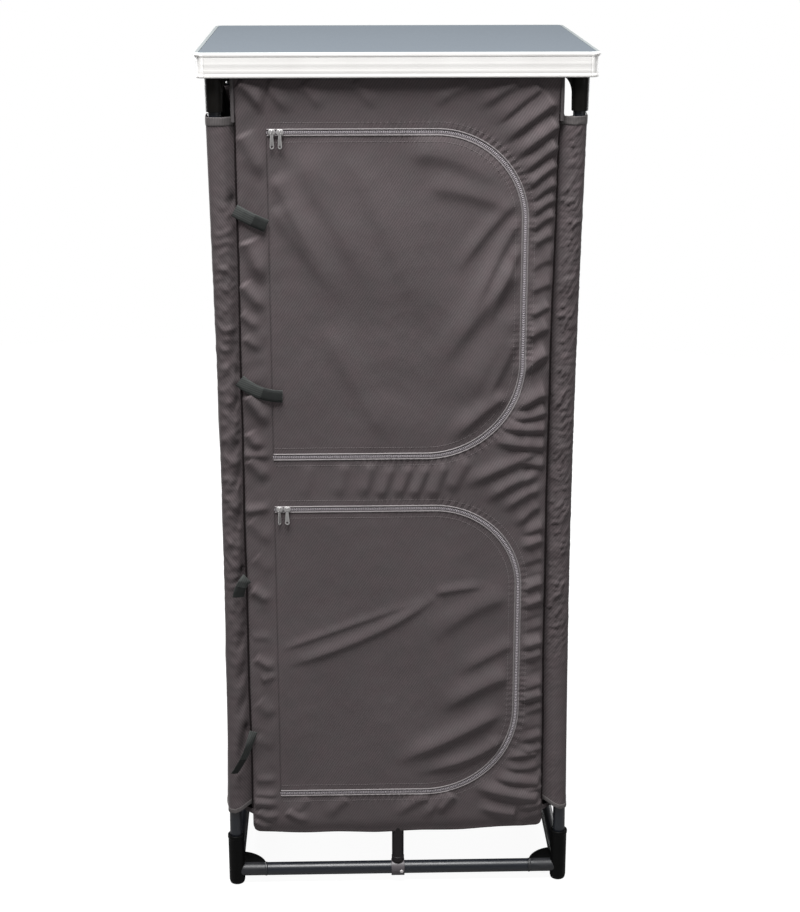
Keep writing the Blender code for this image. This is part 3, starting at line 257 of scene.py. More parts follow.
def slab(outline, low, high, plane="XY"):
    """A flat outline carried from low to high along the third axis, with both ends closed."""
    outline = np.array(outline, float)
    count = len(outline)
    ends = [np.column_stack([outline, np.full(count, level)]) for level in (low, high)]
    points = np.concatenate(ends)
    order = {"XY": [0, 1, 2], "XZ": [0, 2, 1], "YZ": [2, 0, 1]}[plane]
    k = np.arange(count)
    after = (k + 1) % count
    faces = np.stack([k, after, after + count, k + count], axis=1).tolist()
    faces += [list(range(count)), list(range(count, 2 * count))]
    return points[:, order], faces


def make_piece(name, shells, look, nodes=(), body="frame_and_cover", bevel=0.0, sharp=35):
    """A piece from shells of (points, faces): joined in one mesh, doubles merged, faces turned out."""
    points = []
    faces = []
    start = 0
    for shell_points, shell_faces in shells:
        points.append(shell_points)
        listed = shell_faces if isinstance(shell_faces, list) else shell_faces.tolist()
        faces += [[k + start for k in face] for face in listed]
        start += len(shell_points)
    mesh = bpy.data.meshes.new(name)
    mesh.from_pydata(np.concatenate(points).tolist(), [], faces)
    bm = bmesh.new()
    bm.from_mesh(mesh)
    bmesh.ops.remove_doubles(bm, verts=bm.verts, dist=1e-6)
    bmesh.ops.dissolve_degenerate(bm, dist=1e-7, edges=bm.edges)
    bmesh.ops.recalc_face_normals(bm, faces=bm.faces)
    bm.to_mesh(mesh)
    bm.free()
    mesh.shade_smooth()
    mesh.set_sharp_from_angle(angle=math.radians(sharp))
    mesh.materials.append(look)
    piece = add_object(name, mesh)
    if bevel:
        rounding = piece.modifiers.new("rounding", "BEVEL")
        rounding.width = bevel
        rounding.segments = 3
        rounding.limit_method = "ANGLE"
        rounding.angle_limit = math.radians(50)
        rounding.harden_normals = True
    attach(piece, body)
    if nodes:
        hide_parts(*nodes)
    return piece


def arm_shells(side_x, side_y, height):
    """The two arms of a moulding: round, with a shallow ring where the bar butts against them."""
    ring = BAR_RADIUS + 0.0006
    line = [(0, 0), (BAR_RADIUS, 0), (BAR_RADIUS, ARM_END - 0.0040), (ring, ARM_END - 0.0034)]
    line = softened(line + [(ring, ARM_END - 0.0006), (BAR_RADIUS, ARM_END), (0, ARM_END)], 0.0005, 3)
    at = (side_x * LEG_X, side_y * LEG_Y, height)
    return [turned(line * (1, way), at, axis, 40) for axis, way in (("X", -side_x), ("Y", -side_y))]


foot_nylon = moulded_nylon("black_foot_nylon", "#060606", 0.08)
arm_nylon = moulded_nylon("polished_arm_nylon", "#16171B", 0.5)
foot_line = [(0, 0), (0.0080, 0), (0.0120, 0.0022), (0.0133, 0.0075), (0.0133, 0.0862), (0.0141, 0.0868)]
foot_line += [(0.0141, 0.0925), (0.0104, 0.0925), (0.0104, 0.0400), (0, 0.0400)]
angle = np.linspace(0, math.pi / 2, 22)
for corner, (side_x, side_y) in CORNERS.items():
    at = np.array([side_x * LEG_X, side_y * LEG_Y, 0])
    socket = turned(softened(foot_line, 0.0012), at)
    curve = np.column_stack([side_x * np.cos(angle), side_y * np.sin(angle)])
    web = slab(np.vstack([at[:2], at[:2] - WEB_RADIUS * curve]), WEB_LOW, WEB_HIGH)
    node = f"bottom_corner_{corner}"
    shells = [socket, web]
    make_piece(f"foot_moulding_{corner}", shells, foot_nylon, [node], bevel=0.0011)
    # the arms are drawn smooth by the bars that were pushed over them, and shine like them
    arms = arm_shells(side_x, side_y, BOTTOM_BAR_Z)
    make_piece(f"foot_arms_{corner}", arms, arm_nylon)


# Top mouldings: the same black nylon. The socket points down over the leg and tapers a
# little, and a thin hollow-edged brace runs from it to each arm under the table top.
TOP_BAR_Z = 1.3567
BRACE_LOW, BRACE_HIGH = 1.3192, 1.3560
BRACE_HALF = 0.004
nylon = moulded_nylon("black_moulded_nylon", "#12100E", 0.15)
top_line = [(0, 1.3677), (0.0126, 1.3677), (0.0133, 1.3670), (0.0135, 1.3480), (0.0126, 1.2967)]
top_line += [(0.0104, 1.2967), (0.0104, 1.3440), (0, 1.3440)]
angle = np.linspace(0, math.pi / 2, 14)
curve = np.column_stack([0.0125 + 0.0165 * (1 - np.cos(angle)), BRACE_LOW + 0.02805 * np.sin(angle)])
hollow = np.vstack([(0.0110, BRACE_LOW), curve, (0.0290, BRACE_HIGH), (0.0110, BRACE_HIGH)])
for corner, (side_x, side_y) in CORNERS.items():
    at = (side_x * LEG_X, side_y * LEG_Y, 0)
    shells = [turned(softened(top_line, 0.0009), at)]
    for plane, along, across, way in (("XZ", at[0], at[1], side_x), ("YZ", at[1], at[0], side_y)):
        brace = np.column_stack([along - way * hollow[:, 0], hollow[:, 1]])
        shells.append(slab(brace, across - BRACE_HALF, across + BRACE_HALF, plane))
    shells += arm_shells(side_x, side_y, TOP_BAR_Z)
    node = f"top_corner_{corner}"
    make_piece(f"top_moulding_{corner}", shells, nylon, [node], bevel=0.0008)


# Tubes: 20 and 22 mm steel tube with a blue-black stoved coat. The legs plug into the
# sockets of the mouldings, and the bars are pushed over their spigots.
LEG_RADIUS = 0.0100
LEG_LOW, LEG_HIGH = 0.0403, 1.3437
TUBE_WALL = 0.0012
BAR_GAP = 0.0003


def smooth_step(t):
    """3t^2 - 2t^3 between 0 and 1, and level outside."""
    t = np.clip(t, 0, 1)
    return t * t * (3 - 2 * t)


def pulled_in(x, y, z):
    """The tight cover bows its front legs in between their sockets: x less a half sine wave over
    the height, 6.8 mm deep for the right leg and its seam, and 4.8 mm for the left leg alone."""
    wave = np.sin(math.pi * np.clip((z - 0.10) / 1.19, 0, 1)) * smooth_step((-0.08 - y) / 0.10)
    right = 0.0068 * smooth_step((x - 0.198) / 0.040)
    return x - wave * (right - 0.0048 * smooth_step((-0.246 - x) / 0.015))


def tube_shell(radius, start, end, axis, at, sides=40, rows=1):
    """A tube open at both ends: a closed ring of outer wall, end, inner wall and end."""
    inner = radius - TUBE_WALL
    soft = 0.0003
    ring = [(radius, level) for level in np.linspace(start + soft, end - soft, rows + 1)]
    ring.append((radius - soft, end))
    ring += [(inner, level) for level in np.linspace(end, start, rows + 1)]
    ring.append((radius - soft, start))
    points, _ = turned(ring, at, axis, sides)
    return points, grid_faces(sides, len(ring), True, True)


# stoved enamel: half glossy, faintly worn, with the orange peel of its coat 1 to 2 mm across
sockets = {"Base Color": linear("#14171E"), "IOR": 1.5, "Specular IOR Level": 0.5}
wear = (28, 6, 0.34, 0.44, 0.3, 0.7)
steel = material("blue_black_stoved_steel", sockets, None, wear, (620, 1, 0.12, 0.0002))
for corner, (side_x, side_y) in CORNERS.items():
    at = (side_x * LEG_X, side_y * LEG_Y, 0)
    points, faces = tube_shell(LEG_RADIUS, LEG_LOW, LEG_HIGH, "Z", at, rows=48)
    points[:, 0] = pulled_in(points[:, 0], side_y * LEG_Y, points[:, 2])
    make_piece(f"leg_tube_{corner}", [(points, faces)], steel, [f"leg_{corner}"])
for level, height in (("bottom", BOTTOM_BAR_Z), ("top", TOP_BAR_Z)):
    for side, axis, at, reach in (
        ("front", "X", (0, -LEG_Y, height), LEG_X - ARM_END),
        ("back", "X", (0, LEG_Y, height), LEG_X - ARM_END),
        ("left", "Y", (-LEG_X, 0, height), LEG_Y - ARM_END),
        ("right", "Y", (LEG_X, 0, height), LEG_Y - ARM_END),
    ):
        bar = tube_shell(BAR_RADIUS, BAR_GAP - reach, reach - BAR_GAP, axis, at)
        make_piece(f"{level}_{side}_tube", [bar], steel, [f"{level}_bar_{side}"])


# Floor props: a short nylon post in the middle of the front and back bars holds up the
# floor board. A saddle clips over the bar, and a rivet goes through it.
PROP_RADIUS = 0.0105
SADDLE_RADIUS = 0.0141
SADDLE_BORE = 0.0113
post_nylon = moulded_nylon("dark_post_nylon", "#1B1719", 0.2)
saddle_nylon = moulded_nylon("grey_saddle_nylon", "#4A4649", 0.3)
sockets = {"Base Color": linear("#BDB9B9"), "Metallic": 0.3, "Roughness": 0.42}
rivet_steel = material("bright_rivet_steel", sockets)
bore, neck, rim = PROP_RADIUS - 0.0015, PROP_RADIUS - 0.0006, PROP_RADIUS + 0.0005
post_line = [(bore, 0.0390), (PROP_RADIUS, 0.0390), (PROP_RADIUS, 0.0470), (neck, 0.0476)]
post_line += [(neck, 0.1200), (rim, 0.1206), (rim, 0.1297), (bore, 0.1297)]
rivet_line = softened([(0, 0.0016), (0.0022, 0.0013), (0.0034, 0), (0, 0)], 0.0010)
angle = np.linspace(-1.0, 1.0 + math.pi, 40)
arc = np.column_stack([np.cos(angle), np.sin(angle)])
for side, way in (("front", -1), ("back", 1)):
    y = way * LEG_Y
    outline = (y, BOTTOM_BAR_Z) + np.vstack([SADDLE_RADIUS * arc, SADDLE_BORE * arc[::-1]])
    saddle = slab(outline, -0.0110, 0.0110, "YZ")
    node = f"{side}_prop_saddle"
    make_piece(f"{side}_saddle", [saddle], saddle_nylon, [node], bevel=0.0005)
    points, _ = turned(post_line, (0, y, 0))
    post = (points, grid_faces(48, len(post_line), True, True))
    make_piece(f"{side}_post", [post], post_nylon, [f"{side}_prop"])
    at = (0.0060, y + way * SADDLE_RADIUS, BOTTOM_BAR_Z - 0.0010)
    rivet = turned(rivet_line * (1, way), at, "Y", 20)
    make_piece(f"{side}_saddle_rivet", [rivet], rivet_steel)


# Floor board and middle shelf: stiff board sewn into the same grey-brown cloth, with its
# corners cut off so that it passes inside the sleeves of the legs. The middle shelf is cut
# back a little more, where the cover bows the legs in.
def cloth_place(tree):
    """A point's place on the flat cloth, in metres, from the piece's own map."""
    return add_node(tree, "UVMap", None, {"uv_map": "cloth"}).outputs[0]


def ribs(tree, place, pitch, bend, detail, detail_scale=1.0):
    """Straight ribs of this pitch in metres across the map, bent a little, as a value from 0 to 1."""
    inputs = {"Vector": place, "Scale": 0.3142 / pitch, "Distortion": bend, "Detail": detail}
    return add_node(tree, "TexWave", inputs | {"Detail Scale": detail_scale}).outputs["Fac"]


def coated_polyester():
    """Woven polyester with a thin back coat: matt grey-brown, with a slight sheen at a low
    angle, a fine diagonal rib, uneven yarn and slow changes of shade."""
    sockets = {"IOR": 1.45, "Roughness": 0.80, "Specular IOR Level": 0.12, "Sheen Weight": 0.03}
    made = material("grey_brown_polyester_canvas", sockets | {"Sheen Roughness": 0.5})
    tree = made.node_tree
    place = cloth_place(tree)
    slant = {"Vector": place, "Rotation": (0, 0, math.radians(33))}
    slanted = add_node(tree, "Mapping", slant).outputs[0]
    # the real ribs are about 0.6 mm apart; at 3.6 mm they show as the photograph's fine stripe
    rib = ribs(tree, slanted, 0.0036, 1.6, 2.0, 0.6)
    # single threads, drawn 1.6 mm wide and longer than they are wide
    threads = add_node(tree, "Mapping", {"Vector": slanted, "Scale": (620, 130, 1)}).outputs[0]
    stripe = add_node(tree, "Mix", {0: 0.45, 2: rib, 3: noise(tree, threads, 1.0, 1.5)}).outputs[0]
    colour = two_tone(tree, stripe, "#464243", "#5E585A")
    tint = two_tone(tree, noise(tree, place, 34.0, 2.0), "#F4F6F4", "#FFF2F4")
    multiply = {"data_type": "RGBA", "blend_type": "MULTIPLY"}
    tinted = add_node(tree, "Mix", {0: 1.0, 6: colour, 7: tint}, multiply).outputs[2]
    shade = mapped(tree, noise(tree, place, 5.5, 3.0), 0.90, 1.08, 0.3, 0.7)
    shaded = add_node(tree, "VectorMath", {0: tinted, "Scale": shade}, {"operation": "SCALE"}).outputs[0]
    on_shader(made, {"Base Color": shaded, "Normal": bump(tree, stripe, 0.28, 0.0003)})
    return made


def map_cloth(mesh, u, v):
    """Gives each point its place on the flat cloth, in metres, as the map called cloth."""
    layer = mesh.uv_layers.new(name="cloth")
    index = np.zeros(len(mesh.loops), np.int32)
    mesh.loops.foreach_get("vertex_index", index)
    layer.data.foreach_set("uv", np.column_stack([u[index], v[index]]).astype(np.float32).ravel())


def points_of(piece):
    """The points of a piece's mesh, a row each."""
    flat = np.zeros(len(piece.data.vertices) * 3)
    piece.data.vertices.foreach_get("co", flat)
    return flat.reshape(-1, 3)


canvas = coated_polyester()
floor_plan = np.array([(0.2355, -0.2353), (0.2856, -0.1852)])
shelf_plan = np.array([(0.2285, -0.2353), (0.2763, -0.1875), (0.2833, -0.0800)])
for name, node, low, high, quarter in (
    ("floor_board", "base_board", 0.1300, 0.1395, floor_plan),
    ("shelf_board", "middle_shelf", 0.7150, 0.7210, shelf_plan),
):
    outline = np.vstack([quarter, quarter[::-1] * (1, -1), quarter * (-1, -1), quarter[::-1] * (-1, 1)])
    shells = [slab(outline, low, high)]
    board = make_piece(name, shells, canvas, [node], bevel=0.0018)
    x, y, _ = points_of(board).T
    map_cloth(board.data, x, y)


# Hanging rail: a 16 mm tube of the same coated steel across the upper compartment, held
# at each end in a nylon clip that hooks over the side bar.
RAIL_RADIUS = 0.0080
RAIL_END = 0.2605
RAIL_Z = 1.3277
rail = tube_shell(RAIL_RADIUS, -RAIL_END, RAIL_END, "X", (0, 0, RAIL_Z), 32)
make_piece("rail_tube", [rail], steel, ["hanging_rail"])
for node in ("rail_clip_left", "rail_clip_right"):
    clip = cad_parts[node]
    clip.data.materials.clear()
    clip.data.materials.append(foot_nylon)


# Front panel: one piece of the grey-brown cloth with two D-shaped door openings, sewn to
# the leg sleeves at both sides. The zips and seams hold it flat, and it folds in between.
FACE_Y = 0.2378
SEAM_X = 0.2425
HINGE_X = -0.1950
ZIP_X = 0.1935
PANEL_TOP = 1.3587
PANEL_LOW = 0.0975
# the heights of each zip's top and bottom runs
ZIPS = {"upper": (1.2670, 0.7610), "lower": (0.6740, 0.1735)}
ROUND_ABOVE, ROUND_BELOW = 0.135, 0.150
UNDER_TAPE = 0.0026
CELL = 0.0025
CLOTH = 0.0007

# folds as start, middle and end in millimetres across and up, then width and height
RIGHT_FOLDS = [
    (214, 1334, 178, 1306, 140, 1272, 15, 4.6),
    (236, 1312, 196, 1283, 150, 1246, 17, 8.0),
    (242, 1278, 208, 1254, 168, 1222, 16, 8.6),
    (242, 1246, 212, 1226, 180, 1198, 14, 7.6),
    (242, 1218, 214, 1200, 190, 1176, 13, 6.6),
    (242, 1190, 217, 1176, 196, 1156, 12, 5.0),
    (241, 1166, 218, 1154, 198, 1136, 12, 5.4),
    (241, 1142, 218, 1131, 200, 1112, 12, 4.4),
    (240, 1112, 219, 1104, 200, 1092, 12, 3.6),
    (240, 1074, 219, 1068, 202, 1056, 13, 3.0),
    (239, 1036, 219, 1030, 200, 1022, 13, 3.8),
    (238, 1002, 218, 992, 199, 986, 11, 4.2),
    (238, 968, 216, 958, 198, 950, 13, 4.6),
    (239, 926, 207, 908, 186, 884, 15, 7.6),
    (239, 862, 208, 850, 176, 830, 15, 8.6),
    (240, 834, 206, 824, 170, 822, 15, 7.6),
    (241, 804, 199, 804, 156, 808, 15, 8.0),
    (241, 776, 192, 778, 144, 788, 16, 7.4),
    (240, 746, 200, 749, 163, 762, 14, 5.6),
]
STRIP_FOLDS = [
    (-233, 1266, -215, 1230, -197, 1194, 15, 4.4),
    (-230, 1106, -216, 1074, -197, 1035, 15, 6.4),
    (-238, 1038, -220, 1016, -198, 994, 12, 4.6),
    (-241, 991, -227, 980, -209, 967, 9, 3.2),
    (-236, 954, -225, 945, -207, 933, 8, 2.6),
    (-235, 864, -217, 837, -198, 810, 13, 6.4),
    (-235, 801, -226, 788, -212, 772, 10, 4.6),
    (-243, 766, -220, 764, -193, 765, 8, 3.6),
    (-235, 758, -219, 740, -200, 721, 12, 4),
    (-243, 672, -222, 675, -198, 678, 8, 3.6),
    (-237, 655, -218, 636, -199, 617, 13, 2.6),
    (-235, 538, -220, 528, -205, 514, 10, 4.2),
    (-228, 594, -213, 581, -197, 565, 14, 1.8),
    (-236, 455, -220, 456, -203, 455, 9, 1.8),
    (-232, 418, -217, 409, -198, 397, 9, 3.6),
    (-223, 380, -210, 384, -195, 391, 8, 2.4),
    (-230, 340, -216, 328, -198, 313, 13, 2),
    (-232, 275, -216, 267, -196, 263, 13, 1.6),
    (-236, 199, -216, 199, -195, 200, 8, 2.2),
    (-238, 173, -217, 171, -195, 172, 7, 2.8),
]
BAND_FOLDS = [
    (-138, 752, -141, 722, -148, 690, 12, 1.4),
    (-83, 753, -88, 723, -95, 690, 12, 2.4),
    (-41, 753, -47, 723, -57, 690, 10, 3.0),
    (-9, 751, -19, 716, -28, 689, 10, 3.6),
    (19, 750, 10, 719, -2, 689, 10, 3.9),
    (47, 752, 35, 716, 22, 689, 10, 4.2),
    (76, 755, 63, 718, 54, 687, 12, 4.2),
    (112, 762, 96, 728, 80, 698, 13, 3.6),
    (232, 768, 172, 744, 98, 708, 13, 6.3),
    (236, 730, 184, 716, 134, 680, 12, 6.0),
    (236, 704, 200, 694, 164, 664, 10, 4.8),
    (236, 676, 212, 666, 184, 640, 10, 4.5),
]
DOOR_FOLDS = [
    (6, 1240, 100, 1222, 176, 1176, 30, 4.6),
    (36, 1188, 121, 1172, 178, 1148, 24, 3.8),
    (189, 1061, 132, 1002, 50, 890, 25, 5.8),
    (187, 1005, 142, 920, 96, 830, 30, 4.8),
    (172, 862, 128, 829, 78, 782, 17, 6.4),
    (-188, 1206, -159, 1149, -118, 1060, 21, 4.2),
    (-186, 1160, -148, 1100, -76, 1000, 25, 3.8),
    (-150, 1246, -100, 1140, -20, 1000, 30, 2.9),
    (-75, 1246, -8, 1100, 56, 950, 32, 2.6),
    (-120, 980, -59, 870, -16, 782, 30, 2.9),
    (-192, 402, -32, 463, 76, 538, 12, 3.6),
    (56, 528, 100, 536, 142, 540, 10, 2.8),
    (-192, 432, -94, 468, 52, 522, 8, 1.9),
    (180, 524, 116, 496, 46, 444, 23, 4.2),
    (184, 382, 134, 362, 60, 316, 20, 6.7),
    (176, 322, 89, 272, -8, 228, 18, 7.4),
    (176, 274, 119, 235, 22, 207, 14, 6.4),
    (188, 440, 150, 420, 90, 385, 16, 3.5),
    (188, 1140, 152, 1078, 112, 986, 13, 4.2),
    (188, 1098, 164, 1040, 134, 962, 12, 4.4),
    (186, 1168, 134, 1116, 84, 1046, 14, 3.8),
    (186, 960, 160, 900, 132, 846, 14, 4.4),
]
TOP_FOLDS = [
    (-236, 1342, -215, 1323, -193, 1290, 15, 6.6),
    (-195, 1342, -179, 1319, -156, 1295, 14, 3.6),
    (-140, 1341, -127, 1321, -108, 1300, 13, 2.6),
    (-64, 1343, -49, 1322, -29, 1300, 13, 2.4),
    (178, 1341, 149, 1323, 117, 1301, 13, 4.2),
    (104, 1341, 78, 1324, 48, 1306, 12, 3),
]
SKIRT_FOLDS = [
    (235, 243, 203, 238, 177, 233, 8, 4.4),
    (236, 221, 204, 214, 171, 220, 10, 4.2),
    (240, 186, 195, 191, 153, 202, 13, 6.8),
    (241, 158, 175, 169, 122, 186, 15, 8.4),
    (199, 130, 167, 135, 129, 146, 13, 6.4),
    (93, 167, 78, 150, 62, 128, 12, 5.2),
    (80, 165, 60, 145, 40, 119, 11, 3.4),
    (51, 163, 21, 150, -6, 125, 12, 3.2),
    (-84, 162, -103, 146, -118, 122, 12, 2.6),
    (-148, 163, -163, 148, -175, 124, 12, 2.2),
    (-240, 157, -223, 156, -193, 152, 10, 5),
    (-236, 142, -217, 131, -197, 139, 11, 5),
    (-186, 140, -169, 129, -143, 119, 10, 4.4),
    (-240, 124, -227, 113, -207, 110, 9, 4),
]
LOWER_EDGE_FOLDS = []
for k in range(22):
    z = 641 - 24.4 * k + 3.0 * math.sin(2.1 * k)
    ends = (238 + 0.2 * k, z, 220 + 0.3 * k, z - 5, 190 + 0.3 * k, z - 13)
    LOWER_EDGE_FOLDS.append(ends + (11.5, 3.6 + 2.4 * math.sin(1.7 * k)))


def curve_through(a, middle, b, t):
    """(1-t)^2 a + 2t(1-t) c + t^2 b, with c such that the curve passes the middle at t = 1/2."""
    c = 2 * middle - (a + b) / 2
    return (1 - t) ** 2 * a + 2 * t * (1 - t) * c + t**2 * b


def fold(x, z, line, ends=(0.10, 0.45), steep=0.42):
    """One fold of cloth along a curve through three points. With d the distance to the curve,
    it stands height exp(-(d/w)^2) proud, where w is the width on its upper left side and a
    steep share of it on the other, and it fades in and out over the ends of the curve."""
    x0, z0, x1, z1, x2, z2, width, height = np.array(line) / 1000
    near = (x > min(x0, x1, x2) - 3 * width) & (x < max(x0, x1, x2) + 3 * width)
    near &= (z > min(z0, z1, z2) - 3 * width) & (z < max(z0, z1, z2) + 3 * width)
    px, pz = x[near], z[near]
    t = np.linspace(0, 1, 9)
    bx, bz = curve_through(x0, x1, x2, t), curve_through(z0, z1, z2, t)
    least = np.full(px.shape, np.inf)
    place = np.zeros(px.shape)
    side = np.ones(px.shape)
    for k in range(8):
        dx, dz = bx[k + 1] - bx[k], bz[k + 1] - bz[k]
        part = np.clip(((px - bx[k]) * dx + (pz - bz[k]) * dz) / (dx * dx + dz * dz), 0, 1)
        ex, ez = px - bx[k] - part * dx, pz - bz[k] - part * dz
        away = ex * ex + ez * ez
        closer = away < least
        least = np.where(closer, away, least)
        place = np.where(closer, (k + part) / 8, place)
        side = np.where(closer, ez - 0.35 * ex, side)
    w = np.where(side > 0, width, steep * width)
    taper = smooth_step(place / ends[0]) * smooth_step((1 - place) / ends[1])
    out = np.zeros(x.shape)
    out[near] = height * taper * np.exp(-least / w**2)
    return out


def crumple(u, v, size, seed, sharp=True, count=6, turns=(0, math.pi)):
    """Creased cloth: the mean of waves in random directions within turns, each bent by a slower
    wave across it, as 1 - |sin| where it is sharp and as sin where it is soft, about 0."""
    random = np.random.default_rng(seed)
    total = np.zeros(np.shape(u))
    for _ in range(count):
        angle = random.uniform(*turns)
        length = size * random.uniform(0.75, 1.7)
        phase = random.uniform(0, 2 * math.pi, 3)
        along = u * math.cos(angle) + v * math.sin(angle)
        across = v * math.cos(angle) - u * math.sin(angle)
        along = along + 0.30 * length * np.sin(2 * math.pi * across / (2.6 * length) + phase[1])
        strength = 0.6 + 0.4 * np.sin(2 * math.pi * across / (5.1 * length) + phase[2])
        if sharp:
            total += strength * (0.64 - np.abs(np.sin(math.pi * along / length + phase[0])))
        else:
            total += strength * np.sin(2 * math.pi * along / length + phase[0])
    return total / count


def zip_distance(x, z, top, bottom):
    """Signed distance to a zip's line, below 0 on the door: a box with rounded right-hand
    corners, of radius 135 mm above and 150 mm below, mirrored in the hinge line."""
    middle = (top + bottom) / 2
    radius = np.where(z > middle, ROUND_ABOVE, ROUND_BELOW)
    qx = np.abs(x - HINGE_X) - (ZIP_X - HINGE_X) + radius
    qz = np.abs(z - middle) - (top - bottom) / 2 + radius
    outside = np.hypot(np.maximum(qx, 0), np.maximum(qz, 0))
    return outside + np.minimum(np.maximum(qx, qz), 0) - radius


def held_flat(x, z):
    """0 on the zips and on the seam beside the doors, rising to 1 about 15 mm away."""
    factor = 1 - np.exp(-(((x - HINGE_X) / 0.005) ** 2))
    for top, bottom in ZIPS.values():
        away = np.where(x < HINGE_X, 1.0, zip_distance(x, z, top, bottom))
        factor = factor * (1 - np.exp(-((away / 0.0075) ** 2)))
    return factor


def zip_puckers(x, z):
    """Short gathers that run out from each zip's stitching, every 8 to 11 mm along it."""
    out = np.zeros(x.shape)
    for top, bottom in ZIPS.values():
        away = zip_distance(x, z, top, bottom)
        middle = (top + bottom) / 2
        radius = np.where(z > middle, ROUND_ABOVE, ROUND_BELOW)
        corner_x = ZIP_X - radius
        corner_z = np.where(z > middle, top - ROUND_ABOVE, bottom + ROUND_BELOW)
        turn = np.arctan2(np.abs(z - corner_z), np.maximum(x - corner_x, 1e-6))
        beside = np.abs(z - middle) < np.abs(corner_z - middle)
        along = np.where(beside, z, np.where(x < corner_x, x, radius * turn + z * 0.15))
        wave = np.sin(2 * math.pi * along / 0.0098 + 2.2 * np.sin(along / 0.031))
        amount = 0.55 + 0.45 * np.sin(along / 0.047 + 1.3)
        grip = np.exp(-(((np.abs(away) - 0.011) / 0.006) ** 2)) * np.where(away > 0, 1.0, 0.45)
        out += 0.0010 * wave * amount * grip * (x > HINGE_X)
    return out


def clear_of_ends(z):
    """1 over most of the height, and 0 at the upper and lower ends of a seam."""
    return smooth_step((1.338 - z) / 0.030) * smooth_step((z - 0.105) / 0.030)


def front_relief(x, z):
    """How far the front cloth stands out of its flat plane: all folds, soft swells and fine
    crumples where nothing holds it, less the dips into the side seams and the hinge seam,
    a lean inwards down to the upper zip, and a turn inwards at the hem."""
    out = np.zeros(x.shape)
    for lines, ends, steep in (
        (RIGHT_FOLDS, (0.08, 0.40), 0.42),
        (STRIP_FOLDS, (0.08, 0.40), 0.8),
        (TOP_FOLDS, (0.08, 0.40), 0.6),
        (SKIRT_FOLDS, (0.08, 0.40), 0.65),
        (BAND_FOLDS, (0.25, 0.30), 0.7),
        (LOWER_EDGE_FOLDS, (0.08, 0.40), 0.55),
    ):
        for line in lines:
            out = np.maximum(out, fold(x, z, line, ends, steep))
    for line in DOOR_FOLDS:
        out += fold(x, z, line, (0.20, 0.35), 0.55)
    beside = 0.3 * smooth_step((HINGE_X - x) / 0.010) + 0.8 * smooth_step((x - ZIP_X) / 0.010)
    out += 0.0040 * beside * crumple(x, z, 0.046, 7, False)
    out += 0.0014 * crumple(x, z, 0.030, 3) * (0.6 + 1.4 * beside)
    out += 0.0014 * crumple(x, z, 0.120, 5, False)
    out = out * held_flat(x, z) + zip_puckers(x, z)
    out = np.maximum(out, -0.0016)
    edge = SEAM_X - np.abs(x)
    out = out * smooth_step((edge + 0.0025) / 0.0065)
    out -= 0.0036 * np.exp(-((edge / 0.0036) ** 2)) * clear_of_ends(z)
    out -= 0.0007 * np.exp(-(((x - HINGE_X) / 0.0016) ** 2))
    lean = smooth_step((1.350 - z) / 0.080) * smooth_step((z - 1.05) / 0.20) * smooth_step(edge / 0.090)
    out -= 0.0030 * lean
    return out - 0.0042 * np.exp(-(((z - front_hem(x)) / 0.014) ** 2))


def cut_cloth(x, z, distance, cell):
    """Faces of a grid on the side of a line where distance is above 0. Points within half a
    cell of the line are moved on to it, and cells that it crosses corner to corner are halved."""
    step = 1e-5
    gx = (distance(x + step, z) - distance(x - step, z)) / (2 * step)
    gz = (distance(x, z + step) - distance(x, z - step)) / (2 * step)
    d = distance(x, z)
    on_line = np.abs(d) < 0.5 * cell / (np.abs(gx) + np.abs(gz) + 1e-9)
    x = np.where(on_line, x - d * gx, x)
    z = np.where(on_line, z - d * gz, z)
    d = np.where(on_line, 0, d).ravel()
    quads = grid_faces(*x.shape)
    on = on_line.ravel()[quads]
    level = d[quads]
    mixed = (level.min(1) < -1e-9) & (level.max(1) > 1e-9)
    rising = mixed & on[:, 0] & on[:, 2]
    falling = mixed & on[:, 1] & on[:, 3] & ~rising
    whole = ~(rising | falling)
    faces = quads[whole & (level.mean(1) > 0)].tolist()
    for chosen, halves in ((rising, ((0, 1, 2), (0, 2, 3))), (falling, ((0, 1, 3), (1, 2, 3)))):
        for half in halves:
            part = quads[chosen][:, half]
            faces += part[d[part].mean(1) > 0].tolist()
    return x, z, faces


def make_cloth(name, at, flat, look, nodes=(), faces=None, thick=CLOTH, flip=False, door=None):
    """A sheet of cloth from its outer face: at and flat give each point of a grid its place in
    space and on the flat cloth. Unused points are dropped, and the thickness goes behind. A
    door's sheet keeps its place in space and is joined to no body; any other is attached to the frame and
    cover."""
    points = grid_points(*at)
    faces = grid_faces(*flat[0].shape).tolist() if faces is None else faces
    faces = [list(reversed(f)) for f in faces] if flip else faces
    used = np.unique(np.concatenate([np.asarray(f) for f in faces]))
    renumber = np.zeros(len(points), int)
    renumber[used] = np.arange(len(used))
    faces = [[int(renumber[k]) for k in f] for f in faces]
    mesh = bpy.data.meshes.new(name)
    mesh.from_pydata(points[used].tolist(), [], faces)
    map_cloth(mesh, np.ravel(flat[0])[used], np.ravel(flat[1])[used])
    mesh.shade_smooth()
    mesh.materials.append(look)
    piece = add_object(name, mesh)
    wall = piece.modifiers.new("thickness", "SOLIDIFY")
    wall.thickness = thick
    wall.offset = -1
    if nodes:
        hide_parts(*nodes)
    if door:
        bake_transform(piece)
    else:
        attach(piece, "frame_and_cover")
    return piece


def front_hem(x):
    """The lower edge: it sags at the middle, droops least at the left, and its corners are round."""
    across = x / SEAM_X
    level = PANEL_LOW + 0.0060 * (across**2 + 0.5 * across) + 0.0008 * np.sin(x / 0.021)
    corner = np.clip(0.012 - (SEAM_X - np.abs(x)), 0, 0.012)
    return level + 0.012 - np.sqrt(0.012**2 - corner**2)


